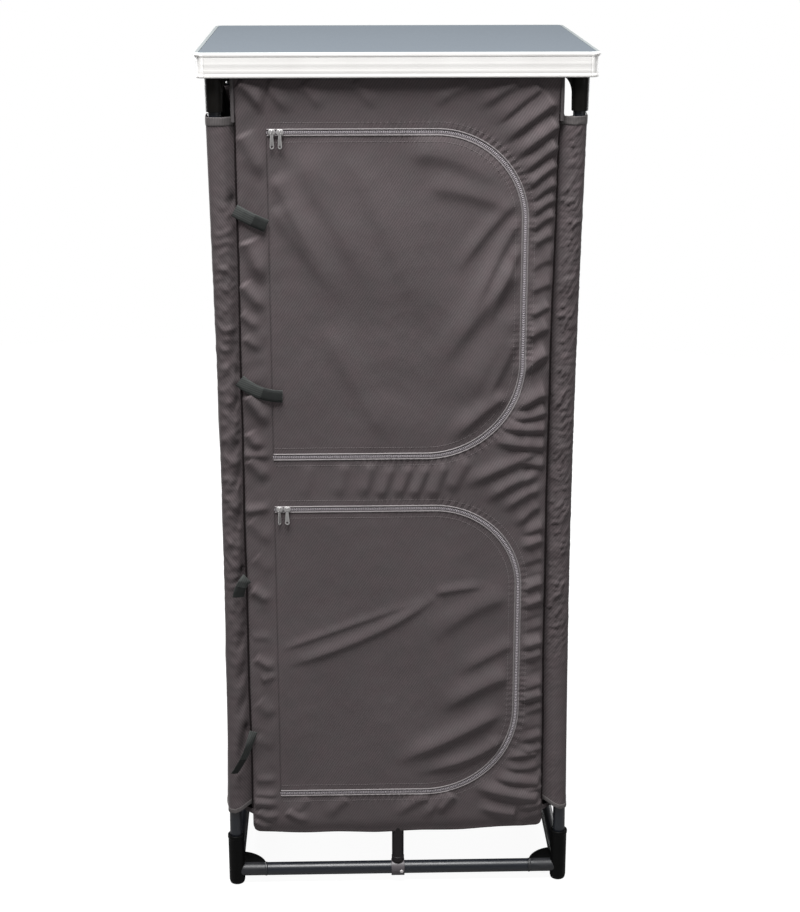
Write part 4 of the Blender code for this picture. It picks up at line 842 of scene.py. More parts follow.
columns = np.concatenate([np.linspace(-SEAM_X, HINGE_X, 20), np.linspace(HINGE_X, SEAM_X, 176)[1:]])
gx, gz = np.meshgrid(columns, np.linspace(PANEL_LOW, PANEL_TOP, 505), indexing="ij")
gz = gz + np.clip((0.1750 - gz) / (0.1750 - PANEL_LOW), 0, 1) * (front_hem(gx) - PANEL_LOW)


def beyond_doors(x, z):
    """Above 0 on the front panel and below 0 in the door openings, whose edges lie under the zips."""
    out = np.full(x.shape, 1.0)
    for top, bottom in ZIPS.values():
        outside = zip_distance(x, z, top, bottom) - UNDER_TAPE
        out = np.minimum(out, np.maximum(outside, HINGE_X - x))
    return out


gx, gz, faces = cut_cloth(gx, gz, beyond_doors, CELL)
at = (pulled_in(gx, -FACE_Y, gz), -FACE_Y - front_relief(gx, gz), gz)
front_panel = make_cloth("front_panel", at, (gx, gz), canvas, ["cover_front"], faces)


# Doors: the same cloth inside each zip, uncut at the left, where it bends along the seam
# when the door is folded back.
for door, (top, bottom) in ZIPS.items():
    gx, gz = np.meshgrid(np.linspace(HINGE_X, ZIP_X, 156), np.linspace(bottom, top, 203), indexing="ij")

    def within_door(x, z):
        """Above 0 inside the zip's line, up to under its tape."""
        return -UNDER_TAPE - zip_distance(x, z, top, bottom)

    gx, gz, faces = cut_cloth(gx, gz, within_door, CELL)
    at = (gx, -FACE_Y - front_relief(gx, gz), gz)
    name, node = f"{door}_door_panel", f"{door}_door"
    make_cloth(name, at, (gx, gz), canvas, [node], faces, door=node)


# Back panel: one piece of the same cloth without openings, sewn to the sleeves of the back
# legs. It hangs nearly flat behind the frame, with short folds that run in from its seams.
gx, share = np.meshgrid(np.linspace(-SEAM_X, SEAM_X, 110), np.linspace(0, 1, 280), indexing="ij")
gz = front_hem(-gx) + share * (PANEL_TOP - front_hem(-gx))
swell = 0.0030 * np.sin(math.pi * (gx / SEAM_X + 1)) ** 2 * np.sin(math.pi * gz / 0.31) ** 2
swell += 0.0022 * np.maximum(crumple(gx, gz, 0.16, 11, False), -0.2) + 0.0006 * crumple(gx, gz, 0.045, 12)
for k in range(40):
    z = 1290 - 29 * k + 6 * math.sin(2.3 * k)
    swell += fold(-gx, gz, (240, z, 222, z - 6, 196, z - 15, 7, 2.4 + math.sin(1.9 * k)))
    swell += fold(gx, gz, (240, z - 12, 222, z - 19, 200, z - 30, 7, 2.2 + math.sin(2.9 * k)))
edge = SEAM_X - np.abs(gx)
swell = np.maximum(swell, -0.0010) * smooth_step((edge + 0.001) / 0.010)
swell -= 0.0042 * np.exp(-((edge / 0.0058) ** 2)) * clear_of_ends(gz)
at = (gx, FACE_Y + swell, gz)
back_panel = make_cloth("back_panel", at, (gx, gz), canvas, ["cover_back"], flip=True)


# Side walls: one piece of cloth each, folded round both legs of its side into sleeves and
# sewn back on itself behind them. The sleeves are crumpled where they were pushed down.
SLEEVE_RADIUS = 0.0133
SLEEVE_TOP = 1.2895
SLEEVE_WIDTH = 0.056
LINING_LOW, LINING_TOP = 0.152, 1.288
# where each tie strap draws the left sleeve in, and how deep
STRAP_POCKETS = ((1.164, 0.0055), (0.895, 0.0030), (0.566, 0.0055), (0.288, 0.0050))
# the side of each wall, the way it faces and the seed of its crumples
WALLS = (("left", -1, 21), ("right", 1, 31))


def lengths(line):
    """The way along a line of points, up to each of them."""
    return np.concatenate([[0], np.cumsum(np.linalg.norm(np.diff(line, axis=0), axis=1))])


def sleeve_plan():
    """The right-hand wall's line seen from above, from the front seam round both legs to the
    back seam: stations by arc length, their places and their outward directions."""
    angle = np.linspace(0, math.pi / 2, 24)
    turn = np.column_stack([np.sin(angle), -np.cos(angle)])
    front = np.vstack([(SEAM_X + 0.0003, -FACE_Y), (LEG_X, -LEG_Y) + SLEEVE_RADIUS * turn])
    line = np.vstack([front, front[::-1] * (1, -1)])
    length = lengths(line)
    total = length[-1]
    sleeve = np.linspace(0, SLEEVE_WIDTH, 27)
    middle = np.linspace(SLEEVE_WIDTH, total - SLEEVE_WIDTH, 66)
    stations = np.concatenate([sleeve[:-1], middle, (total - sleeve[::-1])[1:]])
    x = np.interp(stations, length, line[:, 0])
    y = np.interp(stations, length, line[:, 1])
    tx = np.gradient(x, stations)
    ty = np.gradient(y, stations)
    size = np.hypot(tx, ty)
    return stations, x, y, ty / size, -tx / size


def side_relief(u, z, total, seed, way):
    """How far a side wall stands out: sharp crumples on the sleeves, in the height where they
    were pushed together, soft ones on the wall, and a dip into each seam. The left sleeve is
    gathered into slanting hollows beside its seam, and drawn in where each tie strap leaves it."""
    from_seam = np.minimum(u, total - u)
    sleeve = smooth_step((0.070 - from_seam) / 0.020)
    pushed = smooth_step((z - 0.36) / 0.25) * smooth_step((1.22 - z) / 0.22)
    pushed = np.maximum(pushed, way * smooth_step((z - 0.36) / 0.12) * smooth_step((1.285 - z) / 0.03))
    outer = sleeve * (1 - 0.85 * smooth_step((from_seam - 0.024) / 0.022))
    size, turns, depth = (0.011, (1.9, 2.35), 0.0105) if way > 0 else (0.015, (1.0, 2.1), 0.0085)
    creases = np.maximum(crumple(u, z, size, seed, True, 5, turns), -0.15)
    out = outer * (0.15 + 0.85 * pushed) * depth * creases
    out += outer * (0.2 + 0.8 * pushed) * 0.0075 * crumple(u, z, 0.040, seed + 1, True, 5, (0.8, 2.3))
    out += (1 - sleeve) * (0.0004 + 0.0030 * crumple(u, z, 0.170, seed + 2, False))
    out += (1 - sleeve) * 0.0016 * crumple(u, z, 0.050, seed + 3)
    out = np.maximum(out, -0.0006) * smooth_step(from_seam / 0.012)
    snug = smooth_step((0.080 - from_seam) / 0.022) * smooth_step((from_seam - 0.024) / 0.012)
    out -= 0.0019 * snug * (1.0 if way > 0 else smooth_step((1.25 - z) / 0.6))
    gathered = smooth_step((1.08 - z) / 0.20) * smooth_step((z - 0.17) / 0.04) if way < 0 else 0
    hollow = 0.5 + 0.5 * np.sin((z + 1.3 * from_seam) / 0.0125 + 2.2 * np.sin(z / 0.061))
    out -= 0.0044 * gathered * hollow**1.5 * np.exp(-(((from_seam - 0.015) / 0.008) ** 2))
    for height, depth in STRAP_POCKETS if way < 0 else ():
        out -= depth * np.exp(-(((z - height) / 0.010) ** 2) - ((from_seam - 0.009) / 0.0065) ** 2)
    return out - 0.0105 * smooth_step(1 - from_seam / (0.021 + 0.004 * gathered))


def sleeve_hem(u, total):
    """The lower edge: level along the wall, and higher towards each seam."""
    from_seam = np.minimum(u, total - u)
    return 0.1370 + 0.0150 * np.clip(1 - from_seam / 0.030, 0, 1)


def sleeve_top(y):
    """The upper edge: level round the legs, and cut 50 mm lower halfway between them."""
    return SLEEVE_TOP - 0.050 * np.maximum(0, 1 - (y / 0.1845) ** 2) ** 1.25


def on_wall(way, plan, z, out):
    """Points that stand out from a wall's line: its mirror image for the left wall, where way is -1."""
    _, px, py, nx, ny = (line[:, None] for line in plan)
    x, y = way * (px + nx * out), py + ny * out
    return pulled_in(x, y, z), y, z


plan = sleeve_plan()
girth = plan[0][-1]
# a lining closes each sleeve on the side of the leg that the wall leaves open
lining_line = [(0.2436, 0.2258), (0.2505, 0.2250), (0.2560, 0.2225), (0.2592, 0.2180)]
lining_line = softened(lining_line + [(0.2655, 0.2128), (0.2745, 0.2098), (0.2846, 0.2000)], 0.006, 3)
length = lengths(lining_line)
station = np.linspace(0, length[-1], 20)
lx = np.interp(station, length, lining_line[:, 0])[:, None]
ly = np.interp(station, length, lining_line[:, 1])[:, None]
for side, way, seed in WALLS:
    gu, gs = np.meshgrid(plan[0], np.linspace(0, 1, 330), indexing="ij")
    low = sleeve_hem(gu, girth)
    gz = low + gs * (sleeve_top(plan[2])[:, None] - low)
    at = on_wall(way, plan, gz, side_relief(gu, gz, girth, seed, way))
    wall = make_cloth(f"{side}_wall", at, (gu, gz), canvas, [f"cover_{side}"], flip=way < 0)
    gu, gz = np.meshgrid(station, np.linspace(LINING_LOW, LINING_TOP, 150), indexing="ij")
    soft = 0.0005 * crumple(gu, gz, 0.03, seed + 7)
    for end, way_y in (("front", -1), ("back", 1)):
        x, y = way * (lx - soft), way_y * (ly - soft)
        name = f"{side}_{end}_sleeve_back"
        at = (pulled_in(x, y, gz), y, gz)
        lining = make_cloth(name, at, (gu, gz), canvas, thick=0.0006, flip=way * way_y > 0)


# Bindings and piping: a woven grey tape folded over the top and bottom edges of the side
# walls, and a black piping cord sewn into each upright seam beside the front and back.
PIPING_RADIUS = 0.0014
PIPING_LOW, PIPING_TOP = 0.1480, 1.2935
FLANGE_DEPTH = 0.0095


def woven_tape():
    """Woven polyester tape: lighter grey than the cloth, with close cross ribs."""
    sockets = {"Roughness": 0.75, "IOR": 1.45, "Specular IOR Level": 0.3, "Sheen Weight": 0.05}
    made = material("grey_woven_tape", sockets)
    tree = made.node_tree
    # ribs 0.5 mm apart on the real tape, 2.4 mm here so that they show
    rib = ribs(tree, cloth_place(tree), 0.0024, 0.6, 1.0)
    colour = two_tone(tree, rib, "#494545", "#5A5656")
    on_shader(made, {"Base Color": colour, "Normal": bump(tree, rib, 0.3, 0.0002)})
    return made


tape = woven_tape()
gu, gs = np.meshgrid(plan[0], np.linspace(0, 1, 9), indexing="ij")
lift = 0.0006 * np.sin(math.pi * np.clip(gs, 0.04, 1)) ** 0.3 + 0.0003
for side, way, seed in WALLS:
    for level, gz in (
        ("top", sleeve_top(plan[2])[:, None] + 0.0005 - 0.0135 * gs),
        ("bottom", sleeve_hem(gu, girth) - 0.0005 + 0.0080 * gs),
    ):
        at = on_wall(way, plan, gz, side_relief(gu, gz, girth, seed, way) + lift)
        flip = (way < 0) != (level == "top")
        make_cloth(f"{side}_{level}_binding", at, (gu, gz), tape, thick=0.0016, flip=flip)


def swept(path, radius):
    """A round cord: a circle of this radius carried along a path, closed to a point at each end."""
    along = np.gradient(path, axis=0)
    along /= np.linalg.norm(along, axis=1)[:, None]
    first = np.cross(along, (1.0, 0, 0))
    first /= np.linalg.norm(first, axis=1)[:, None]
    second = np.cross(along, first)
    angle = np.linspace(0, 2 * math.pi, 12, endpoint=False)[:, None, None]
    size = np.full(len(path), radius)
    size[0] = size[-1] = 0
    ring = path + size[:, None] * (np.cos(angle) * first + np.sin(angle) * second)
    return ring.reshape(-1, 3), grid_faces(12, len(path), True)


def tower_faces(sides, rows):
    """Faces of a ring of columns of points, with its first and last rows closed."""
    ends = [[k * rows + row for k in range(sides)] for row in (0, rows - 1)]
    return grid_faces(sides, rows, True).tolist() + ends


# piping cord in a black woven cover: near black and matt
sockets = {"Base Color": linear("#171112"), "Roughness": 0.8, "Specular IOR Level": 0.15}
piping = material("black_piping", sockets, grain=(900, 1, 0.3, 0.0003))
height = np.linspace(PIPING_LOW, PIPING_TOP, 240)
height = np.concatenate([[PIPING_LOW - 0.0002], height, [PIPING_TOP + 0.0002]])
for end, way_y in (("front", -1), ("back", 1)):
    for side, way in (("left", -1), ("right", 1)):
        wander = 0.0005 * np.sin(height / 0.043 + way) + 0.0006 * np.sin(height / 0.17 + 2 * way_y)
        x = pulled_in(way * (SEAM_X + 0.0002 + wander), way_y * FACE_Y, height)
        path = np.column_stack([x, np.full(len(height), way_y * (FACE_Y - 0.0026)), height])
        # its flange is sewn in between the two cloths and stands 9 mm into the wardrobe
        section = ((-0.0005, 0), (0.0005, 0), (0.0005, -FLANGE_DEPTH), (-0.0005, -FLANGE_DEPTH))
        flange = np.concatenate([path + (across, way_y * depth, 0) for across, depth in section])
        shells = [swept(path, PIPING_RADIUS), (flange, tower_faces(4, len(path)))]
        make_piece(f"{side}_{end}_piping", shells, piping)


# Zips: nylon coils on grey tape, sewn in under the edges of the door openings. The cloth is
# turned under beside the coil in a welt along each side of it, whose paler colour is a painted highlight.
COIL_LINE = 0.0008
STITCH_LINE = 0.0145
TURNED_LOW, TURNED_TOP = 1.2830, 1.3580


def zip_line(top, bottom, spacing):
    """Lengths along a zip, its centre line and its outward directions: a run along the top, a
    quarter circle of 135 mm, a run down, a quarter circle of 150 mm and a run back."""
    upper, lower = ROUND_ABOVE, ROUND_BELOW
    runs = [ZIP_X - upper - HINGE_X, upper * math.pi / 2, top - upper - bottom - lower]
    runs += [lower * math.pi / 2, ZIP_X - lower - HINGE_X]
    ends = np.cumsum(runs)
    s = np.linspace(0, ends[4], int(ends[4] / spacing) + 1)
    first = np.clip((s - ends[0]) / upper, 0, math.pi / 2)
    second = np.clip((s - ends[2]) / lower, 0, math.pi / 2)
    x = HINGE_X + np.clip(s, 0, runs[0]) + upper * np.sin(first)
    x = x - lower * (1 - np.cos(second)) - np.clip(s - ends[3], 0, runs[4])
    z = top - upper * (1 - np.cos(first)) - np.clip(s - ends[1], 0, runs[2]) - lower * np.sin(second)
    return s, x, z, np.sin(first + second), np.cos(first + second)


def bar_faces(rings, count):
    """Faces of a closed section of count points that is carried through rings, with closed ends."""
    ends = [list(range(count)), list(range((rings - 1) * count, rings * count))]
    return grid_faces(rings, count, False, True).tolist() + ends


def along_zip(line, section):
    """A closed section of (distance outwards, height above the cloth) carried along a zip."""
    _, x, z, out_x, out_z = line
    px = x[:, None] + out_x[:, None] * section[:, 0]
    pz = z[:, None] + out_z[:, None] * section[:, 0]
    py = -FACE_Y - front_relief(px, pz) - section[:, 1]
    return grid_points(px, py, pz), bar_faces(len(x), len(section))


def front_beads(x, z, along_x, along_z, height, length, radius):
    """Small six-sided beads that lie along given directions on the front cloth, this high above
    it: two rings of this radius between two poles, flattened towards the cloth."""
    level = np.zeros(len(x))
    at = np.column_stack([x, -FACE_Y - front_relief(x, z) - height, z])
    along = np.column_stack([along_x, level, along_z])
    side = np.column_stack([along_z, level, -along_x])
    turn = np.arange(6)[:, None] * math.pi / 3
    ring = np.cos(turn) * side[:, None] + np.sin(turn) * (0, -0.6, 0)
    rows = []
    for share, size in ((-0.5, 0), (-0.3, 1), (0.3, 1), (0.5, 0)):
        rows.append(at[:, None] + share * length * along[:, None] + size * radius * ring)
    points = np.stack(rows, axis=2).reshape(-1, 3)
    faces = grid_faces(6, 4, True)[None] + 24 * np.arange(len(at))[:, None, None]
    return points, faces.reshape(-1, 4)


def zip_stuff(name, dark, light, scale):
    """Grey polyester zip parts: dull, with fine streaks a little darker and lighter."""
    sockets = {"Roughness": 0.6, "IOR": 1.5, "Specular IOR Level": 0.25}
    return material(name, sockets, (scale, 2, dark, light), None, (scale, 2, 0.3, 0.0002))


def rounded_section(points, radius, steps):
    """A closed section in metres, from its corners in millimetres, which are rounded."""
    return softened(points + points[:1], radius, steps)[:-1] / 1000


# painted highlight: the welt is the same cloth, painted paler so that its rolled edge looks lit
painted_highlight_welt_cloth = zip_stuff("turned_polyester_edge_painted_highlight", "#6C6768", "#7C7778", 380)
# painted shade: the turned edge is the same cloth, painted darker than it so that it looks shaded under
# the table top
painted_shade_edge_cloth = zip_stuff("turned_cloth_edge_painted_shade", "#413D3E", "#504C4D", 380)
tape_cloth = zip_stuff("grey_brown_zip_tape", "#5C5759", "#6D686B", 700)
coil_nylon = zip_stuff("grey_nylon_coil", "#8C868A", "#A8A2A7", 300)
thread = zip_stuff("grey_sewing_thread", "#5F595A", "#6E6768", 900)

welt_section = rounded_section([(3.4, -0.6), (3.5, 0.8), (4.6, 1.3), (5.5, 0.6), (5.9, -0.6)], 0.6, 2)
tape_section = rounded_section([(0.1, -0.7), (0.1, 0.2), (3.8, 0.2), (3.8, -0.7)], 0.1, 1)
with_frame = []
for door, (top, bottom) in ZIPS.items():
    with_door = []
    line = zip_line(top, bottom, 0.0020)
    for part, way, body, group in (
        ("fixed", 1, "frame_and_cover", with_frame),
        ("moving", -1, f"{door}_door", with_door),
    ):
        # the turns of a real coil are 1.3 mm apart, and 2.8 mm here so that they show
        _, x, z, out_x, out_z = zip_line(top, bottom, 0.0028)
        x, z = x + way * COIL_LINE * out_x, z + way * COIL_LINE * out_z
        ax, az = 0.55 * out_z + way * 0.83 * out_x, -0.55 * out_x + way * 0.83 * out_z
        turns = front_beads(x, z, ax, az, 0.0005, 0.0030, 0.0007)
        s, x, z, out_x, out_z = zip_line(top, bottom, 0.0036)
        x, z = x + way * STITCH_LINE * out_x, z + way * STITCH_LINE * out_z
        inside = (x > HINGE_X + 0.002) & (s > 0.004)
        row = front_beads(x[inside], z[inside], out_z[inside], -out_x[inside], 0.0001, 0.0031, 0.0004)
        for kind, shell, look, nodes, sharp in (
            ("welt", along_zip(line, welt_section * (way, 1)), painted_highlight_welt_cloth, (), 35),
            ("tape", along_zip(line, tape_section * (way, 1)), tape_cloth, [f"{door}_zip_{part}"], 35),
            ("coil", turns, coil_nylon, (), 80),
            ("stitches", row, thread, (), 80),
        ):
            name = f"{door}_zip_{kind}_{part}"
            group.append(make_piece(name, [shell], look, nodes, body, sharp=sharp))

# above the sleeves the front cloth ends at each side in a turned and stitched edge
turned_under = [(-0.4, 0.6), (0.4, 1.9), (2.6, 2.2), (4.8, 1.6), (5.4, 0.0), (4.6, -1.4), (-0.4, -1.2)]
section = rounded_section(turned_under, 0.8, 2)
height = np.linspace(TURNED_LOW, TURNED_TOP, 26)[:, None]
for side, way in (("left", -1), ("right", 1)):
    y = -FACE_Y + 0.0012 - section[:, 1] - 0.0008 * np.sin(height / 0.011 + way)
    shell = (grid_points(way * (SEAM_X + section[:, 0]), y, height), bar_faces(26, len(section)))
    with_frame.append(make_piece(f"{side}_turned_edge", [shell], painted_shade_edge_cloth))


# Sliders and pulls: two grey zinc castings on each zip, parked at the hinge end. Each pull
# hangs by a loop from its slider and has a hole in its round end.
PULL_PIN_Y = -0.2429
FIRST_SLIDER_X = HINGE_X + 0.00755
SLIDER_STEP = 0.012
# a pull's tag in millimetres, and how far its hole hangs below the zip's top run in metres
TAG_LENGTH = 18.4
TAG_HOLE = 1.9
TAG_DROP = 0.0203


def dome(x, z, base, height, wide, tall):
    """A slider's body: a rounded rectangle |cos|^0.7, |sin|^0.7 in plan, whose height follows
    (1 - r^4)^0.5 from its rim to its middle, with a flat back."""
    turn = np.linspace(0, 2 * math.pi, 40, endpoint=False)[:, None]
    r = np.array([0, 0.9, 1.0, 1.0, 0.97, 0.9, 0.75, 0.5, 0.25, 0])
    lift = np.array([0, 0, 0.1, 0.35, 0.62, 0.8, 0.93, 0.99, 1, 1])
    px = x + wide * r * np.sign(np.cos(turn)) * np.abs(np.cos(turn)) ** 0.7
    pz = z + tall * r * np.sign(np.sin(turn)) * np.abs(np.sin(turn)) ** 0.7
    return grid_points(px, base - height * lift, pz), grid_faces(40, 10, True)


def tag_shell(x, z, y, twist):
    """A pull's tag: rings round its hole, out to the outline of two joined discs, which is the
    farthest exit of a ray through discs that shrink evenly from the round end to the neck."""
    turn = np.linspace(0, 2 * math.pi, 48, endpoint=False)
    t = np.linspace(0, 1, 60)[:, None]
    radius = 3.7 - 1.5 * t
    rest = radius**2 - (TAG_LENGTH * t) ** 2 * np.sin(turn) ** 2
    exits = TAG_LENGTH * t * np.cos(turn) + np.sqrt(np.maximum(rest, 0))
    far = np.max(np.where(rest > 0, exits, 0), axis=0)
    hole = np.full(48, TAG_HOLE)
    rings = [hole, hole + 0.25, far - 0.3, far]
    distance = np.column_stack(rings + rings[::-1])
    out = np.array([0.5, 0.62, 0.62, 0.3, -0.3, -0.62, -0.62, -0.5])
    side = distance * np.sin(turn)[:, None]
    px = x + (side * math.cos(twist) + out * math.sin(twist)) / 1000
    py = y + (side * math.sin(twist) - out * math.cos(twist)) / 1000
    pz = z - TAG_DROP + distance * np.cos(turn)[:, None] / 1000
    return grid_points(px, py, pz), grid_faces(48, 8, True, True)


def loop_shell(points, radius):
    """A wire bent into a closed loop through these points."""
    along = np.roll(points, -1, axis=0) - np.roll(points, 1, axis=0)
    along /= np.linalg.norm(along, axis=1)[:, None]
    out = points - points.mean(axis=0)
    out -= (out * along).sum(axis=1)[:, None] * along
    out /= np.linalg.norm(out, axis=1)[:, None]
    side = np.cross(along, out)
    turn = np.linspace(0, 2 * math.pi, 8, endpoint=False)[:, None, None]
    ring = points + radius * (np.cos(turn) * out + np.sin(turn) * side)
    return ring.reshape(-1, 3), grid_faces(8, len(points), True, True)


# grey lacquered zinc: half metallic, satin, paler on its worn high spots
tones = (420, 4, "#8A8888", "#B4B2B1")
zinc = material("grey_lacquered_zinc", {"Metallic": 0.35}, tones, (420, 4, 0.30, 0.50))
turn = np.linspace(0, 2 * math.pi, 20, endpoint=False)
for door, twists in (("upper", (0.55, -0.55)), ("lower", (0.95, 0.0))):
    top = ZIPS[door][0]
    for side, x, body, twist in (
        ("left", FIRST_SLIDER_X, f"{door}_door", twists[0]),
        ("right", FIRST_SLIDER_X + SLIDER_STEP, f"{door}_slider", twists[1]),
    ):
        bridge_y = -FACE_Y - 0.0032 - 0.0026 * np.sin(turn)
        bridge = np.column_stack([np.full(20, x), bridge_y, top + 0.0012 + 0.0036 * np.cos(turn)])
        rounded = dome(x, top + 0.0008, -FACE_Y - 0.0008, 0.0026, 0.0054, 0.0050)
        shells = [rounded, loop_shell(bridge, 0.0010)]
        node = f"{door}_slider_{side}"
        make_piece(f"{door}_{side}_slider_body", shells, zinc, [node], body, sharp=50)
        eye_x = x + 0.0019 * math.cos(twist) * np.sin(turn)
        eye_y = PULL_PIN_Y + 0.0019 * math.sin(twist) * np.sin(turn)
        eye = np.column_stack([eye_x, eye_y, top - 0.0014 + 0.0019 * np.cos(turn)])
        shells = [tag_shell(x, top, PULL_PIN_Y, twist), loop_shell(eye, 0.0007)]
        node = f"{door}_pull_{side}"
        make_piece(f"{door}_{side}_pull_tag", shells, zinc, [node], node, sharp=50)


# Tie straps: four short lengths of black-grey webbing sewn into the left seam, which hold the
# doors open. Each has a patch of loop tape at its end and lies where it was last dropped.
def webbing(name, dark, light, pitch):
    """Woven webbing: dull, with ribs along it and a fine cross weave, drawn at this pitch."""
    made = material(name, {"Roughness": 0.85, "IOR": 1.45, "Specular IOR Level": 0.1})
    tree = made.node_tree
    place = cloth_place(tree)
    weft = noise(tree, place, 900, 2)
    height = add_node(tree, "Mix", {0: 0.4, 2: ribs(tree, place, pitch, 0.8, 2.0), 3: weft}).outputs[0]
    colour = two_tone(tree, height, dark, light)
    on_shader(made, {"Base Color": colour, "Normal": bump(tree, height, 0.4, 0.0004)})
    return made


def ribbon(name, line, width, lift, tilt, thick, look, nodes=(), first=0.0, last=1.0):
    """A flat strap: its width is carried along a curve through three points, standing off the
    front by heights that are given along it, and its edges are rounded; tilt turns it out."""
    (x0, z0), (x1, z1), (x2, z2) = np.array(line) / 1000
    t = np.linspace(first, last, 34)
    x, z = curve_through(x0, x1, x2, t), curve_through(z0, z1, z2, t)
    size = np.hypot(np.gradient(x), np.gradient(z))
    dx, dz = np.gradient(x) / size, np.gradient(z) / size
    share = np.array([-0.47, -0.25, 0, 0.25, 0.47, 0.5, 0.47, 0.25, 0, -0.25, -0.47, -0.5])
    depth = np.array([1, 1, 1, 1, 1, 0.5, 0, 0, 0, 0, 0, 0.5])
    height = np.interp(t, np.linspace(0, 1, len(lift)), np.array(lift) / 1000)
    crown = 0.0005 * np.cos(math.pi * share)
    px = x[:, None] - dz[:, None] * share * width
    pz = z[:, None] + dx[:, None] * share * width
    turned_out = tilt * smooth_step(3 * t)[:, None] * share
    py = -FACE_Y - height[:, None] - crown - turned_out - depth * thick
    shell = (grid_points(px, py, pz), bar_faces(34, 12))
    strap = make_piece(name, [shell], look, nodes, sharp=60)
    px, _, pz = points_of(strap).T
    ax, az = np.array([x2 - x0, z2 - z0]) / math.hypot(x2 - x0, z2 - z0)
    map_cloth(strap.data, (pz - z0) * ax - (px - x0) * az, (px - x0) * ax + (pz - z0) * az)
    return strap, float(lengths(np.column_stack([x, z]))[-1])


black_webbing = webbing("black_grey_webbing", "#323433", "#464847", 0.0032)
loop_tape = webbing("black_loop_tape", "#222323", "#333534", 0.0011)
for k, line, width, lift, tilt, patch in (
    (1, [(-246, 1152), (-222, 1139), (-198, 1128)], 0.0200, (1.2, 3.4, 3.8, 3.2, 3.0), 0.001, 0.58),
    (2, [(-245, 887), (-214, 868), (-179, 861)], 0.0200, (1.2, 3.6, 4.2, 3.4, 2.2), 0.001, 0.55),
    (3, [(-241, 560), (-251, 547), (-256, 529)], 0.0180, (3.4, 6.2, 7.4, 7.8, 7.2), -0.008, 0.5),
    (4, [(-238, 290), (-252, 250), (-271, 216)], 0.0130, (4.4, 8.6, 9.2, 8.6, 8.2), -0.014, 0.62),
):
    node = [f"tie_strap_{k}"]
    strap, length = ribbon(f"strap_{k}", line, width, lift, tilt, 0.0014, black_webbing, node)
    raised = np.array(lift) + 1.35
    narrow = width - 0.0014
    name = f"strap_{k}_patch"
    end_tape, _ = ribbon(name, line, narrow, raised, tilt, 0.0010, loop_tape, (), patch, 0.985)


# Table top: a grey-blue laminate board framed by four lengths of white-coated aluminium
# extrusion with rounded ribs, and a white plastic cap round each corner.
TOP_Z = 1.3850
SIDE_X, SIDE_Y = 0.3000, 0.2500
CAP_RADIUS = 0.0150
ROUND_X, ROUND_Y = SIDE_X - CAP_RADIUS, SIDE_Y - CAP_RADIUS


def white_coat(name, base, pale, roughness):
    """A white coat on metal or plastic, faintly uneven in tone, with painted shade on its upper
    face: that face is painted a grey that makes it look less lit than the ribbed one."""
    wear = (18, 5, roughness - 0.06, roughness + 0.08)
    sockets = {"IOR": 1.5, "Specular IOR Level": 0.4}
    made = material(name, sockets, None, wear, (700, 1, 0.06, 0.0002))
    tree = made.node_tree
    place = own_place(tree)
    colour = two_tone(tree, noise(tree, place, 18, 5), base, pale)
    height = add_node(tree, "SeparateXYZ", {"Vector": place}).outputs["Z"]
    # painted shade: the upper face, from 1.3840 m up, is painted grey-blue so that it looks less lit
    colour = two_tone(tree, mapped(tree, height, 0.0, 1.0, 1.3840, 1.3849), colour, "#84898A")
    on_shader(made, {"Base Color": colour})
    return made


# pressed laminate: satin, with a darker and lighter speckle, under 1 mm really, 2 mm here to show
tones = (480, 2, "#4F555B", "#62686E")
sockets = {"IOR": 1.5, "Specular IOR Level": 0.12}
laminate = material("grey_blue_laminate", sockets, tones, (7, 3, 0.55, 0.66), (480, 2, 0.08, 0.0002))
# both white coats carry painted shade on their upper faces
coated_aluminium = white_coat("white_coated_aluminium", "#CECCCA", "#DAD9D7", 0.36)
white_plastic = white_coat("white_moulded_plastic", "#E2E0DE", "#EAE9E7", 0.44)

# the board's outline at five levels, with its upper edge stepped in and broken
radius = CAP_RADIUS - np.array([0.0052, 0.0052, 0.0073, 0.0073, 0.0077])
level = np.array([1.3680, 1.3835, 1.3835, 1.3846, 1.3850])
angle = np.concatenate([np.linspace(0, math.pi / 2, 9) + turn * math.pi / 2 for turn in range(4)])[:, None]
x = np.repeat([1, -1, -1, 1], 9)[:, None] * ROUND_X + radius * np.cos(angle)
y = np.repeat([1, 1, -1, -1], 9)[:, None] * ROUND_Y + radius * np.sin(angle)
board = (grid_points(x, y, level), tower_faces(36, 5))
make_piece("laminate_board", [board], laminate, ["table_board"], "table_top")

# the extrusion's section, as depth in from the outer face and height below the top
edge_line = np.array(
    [(7.0, 0.0), (2.6, 0.0), (0.7, 0.7), (0.0, 2.4), (0.0, 4.8), (0.25, 6.1), (0.65, 6.9)]
    + [(0.55, 8.2), (0.47, 13.8), (0.37, 15.6), (0.33, 16.6), (0.33, 17.6), (0.39, 19.0), (0.49, 21.5)]
    + [(0.46, 24.4), (0.36, 25.8), (0.3, 26.8), (0.32, 27.8), (0.4, 29.4), (0.52, 30.6), (0.5, 31.4)]
    + [(0.2, 32.6), (0.0, 33.6), (0.0, 35.6), (0.5, 36.6), (1.5, 37.0), (5.0, 37.0), (5.0, 36.0)]
    + [(3.0, 36.0), (3.0, 18.4), (9.0, 18.4), (9.0, 17.4), (3.0, 17.4), (3.0, 1.2), (7.0, 1.2)]
    + [(7.0, 0.0)]
)
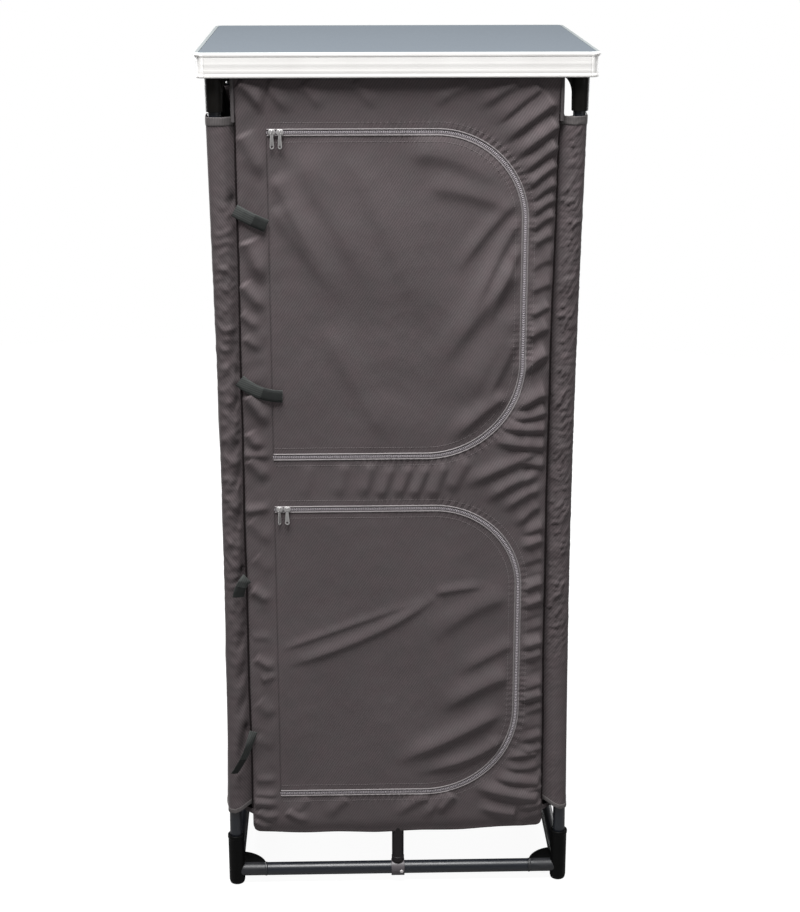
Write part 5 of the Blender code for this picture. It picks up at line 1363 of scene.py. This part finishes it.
# at the two short sides the ribbed face stands further back below its lip
side_line = edge_line.copy()
set_back = np.interp(edge_line[:, 1], [4.8, 9.0, 24.0, 33.0, 36.6], [0.0, 3.5, 3.7, 2.7, 2.3])
side_line[:, 0] += np.where(edge_line[:, 0] < 1.6, set_back, 0)
side_line[:, 0] += np.where((edge_line[:, 1] > 1.0) & (np.abs(edge_line[:, 0] - 4.0) < 1.2), 1.8, 0)
for side, way, line, outer, half, plane in (
    ("front", -1, edge_line, SIDE_Y, ROUND_X - 0.0003, "YZ"),
    ("back", 1, edge_line, SIDE_Y, ROUND_X - 0.0003, "YZ"),
    ("left", -1, side_line, SIDE_X, ROUND_Y - 0.0003, "XZ"),
    ("right", 1, side_line, SIDE_X, ROUND_Y - 0.0003, "XZ"),
):
    section = softened(line, 0.5, 3)[:-1] / 1000
    outline = np.column_stack([way * (outer - section[:, 0]), TOP_Z - section[:, 1]])
    shells = [slab(outline, -half, half, plane)]
    node = f"table_edge_{side}"
    make_piece(f"{side}_edging", shells, coated_aluminium, [node], "table_top", sharp=60)

# a cap carries the side's section round into the front's or back's, and its ribs fade
ribbed = (edge_line[:, 0] < 0.7) & (edge_line[:, 1] > 6.0) & (edge_line[:, 1] < 32.0)
angle = np.linspace(0, math.pi / 2, 25)[:, None]
turn = smooth_step(angle / (math.pi / 2))[:, :, None]
section = side_line * (1 - turn) + edge_line * turn
section[:, :, 0] += 0.8 * np.sin(2 * angle) ** 0.5 * ribbed * (0.35 - edge_line[:, 0])
section[:, :, 0] += 0.7 * np.sin(2 * angle) ** 2 * ribbed
section = section[:, :-1] / 1000
radius = CAP_RADIUS - section[:, :, 0]
x, y = ROUND_X + radius * np.cos(angle), ROUND_Y + radius * np.sin(angle)
for corner, (side_x, side_y) in CORNERS.items():
    points = grid_points(side_x * x, side_y * y, TOP_Z - section[:, :, 1])
    shells = [(points, bar_faces(25, section.shape[1]))]
    name, node = f"corner_cap_{corner}", f"table_cap_{corner}"
    make_piece(name, shells, white_plastic, [node], "table_top", sharp=60)
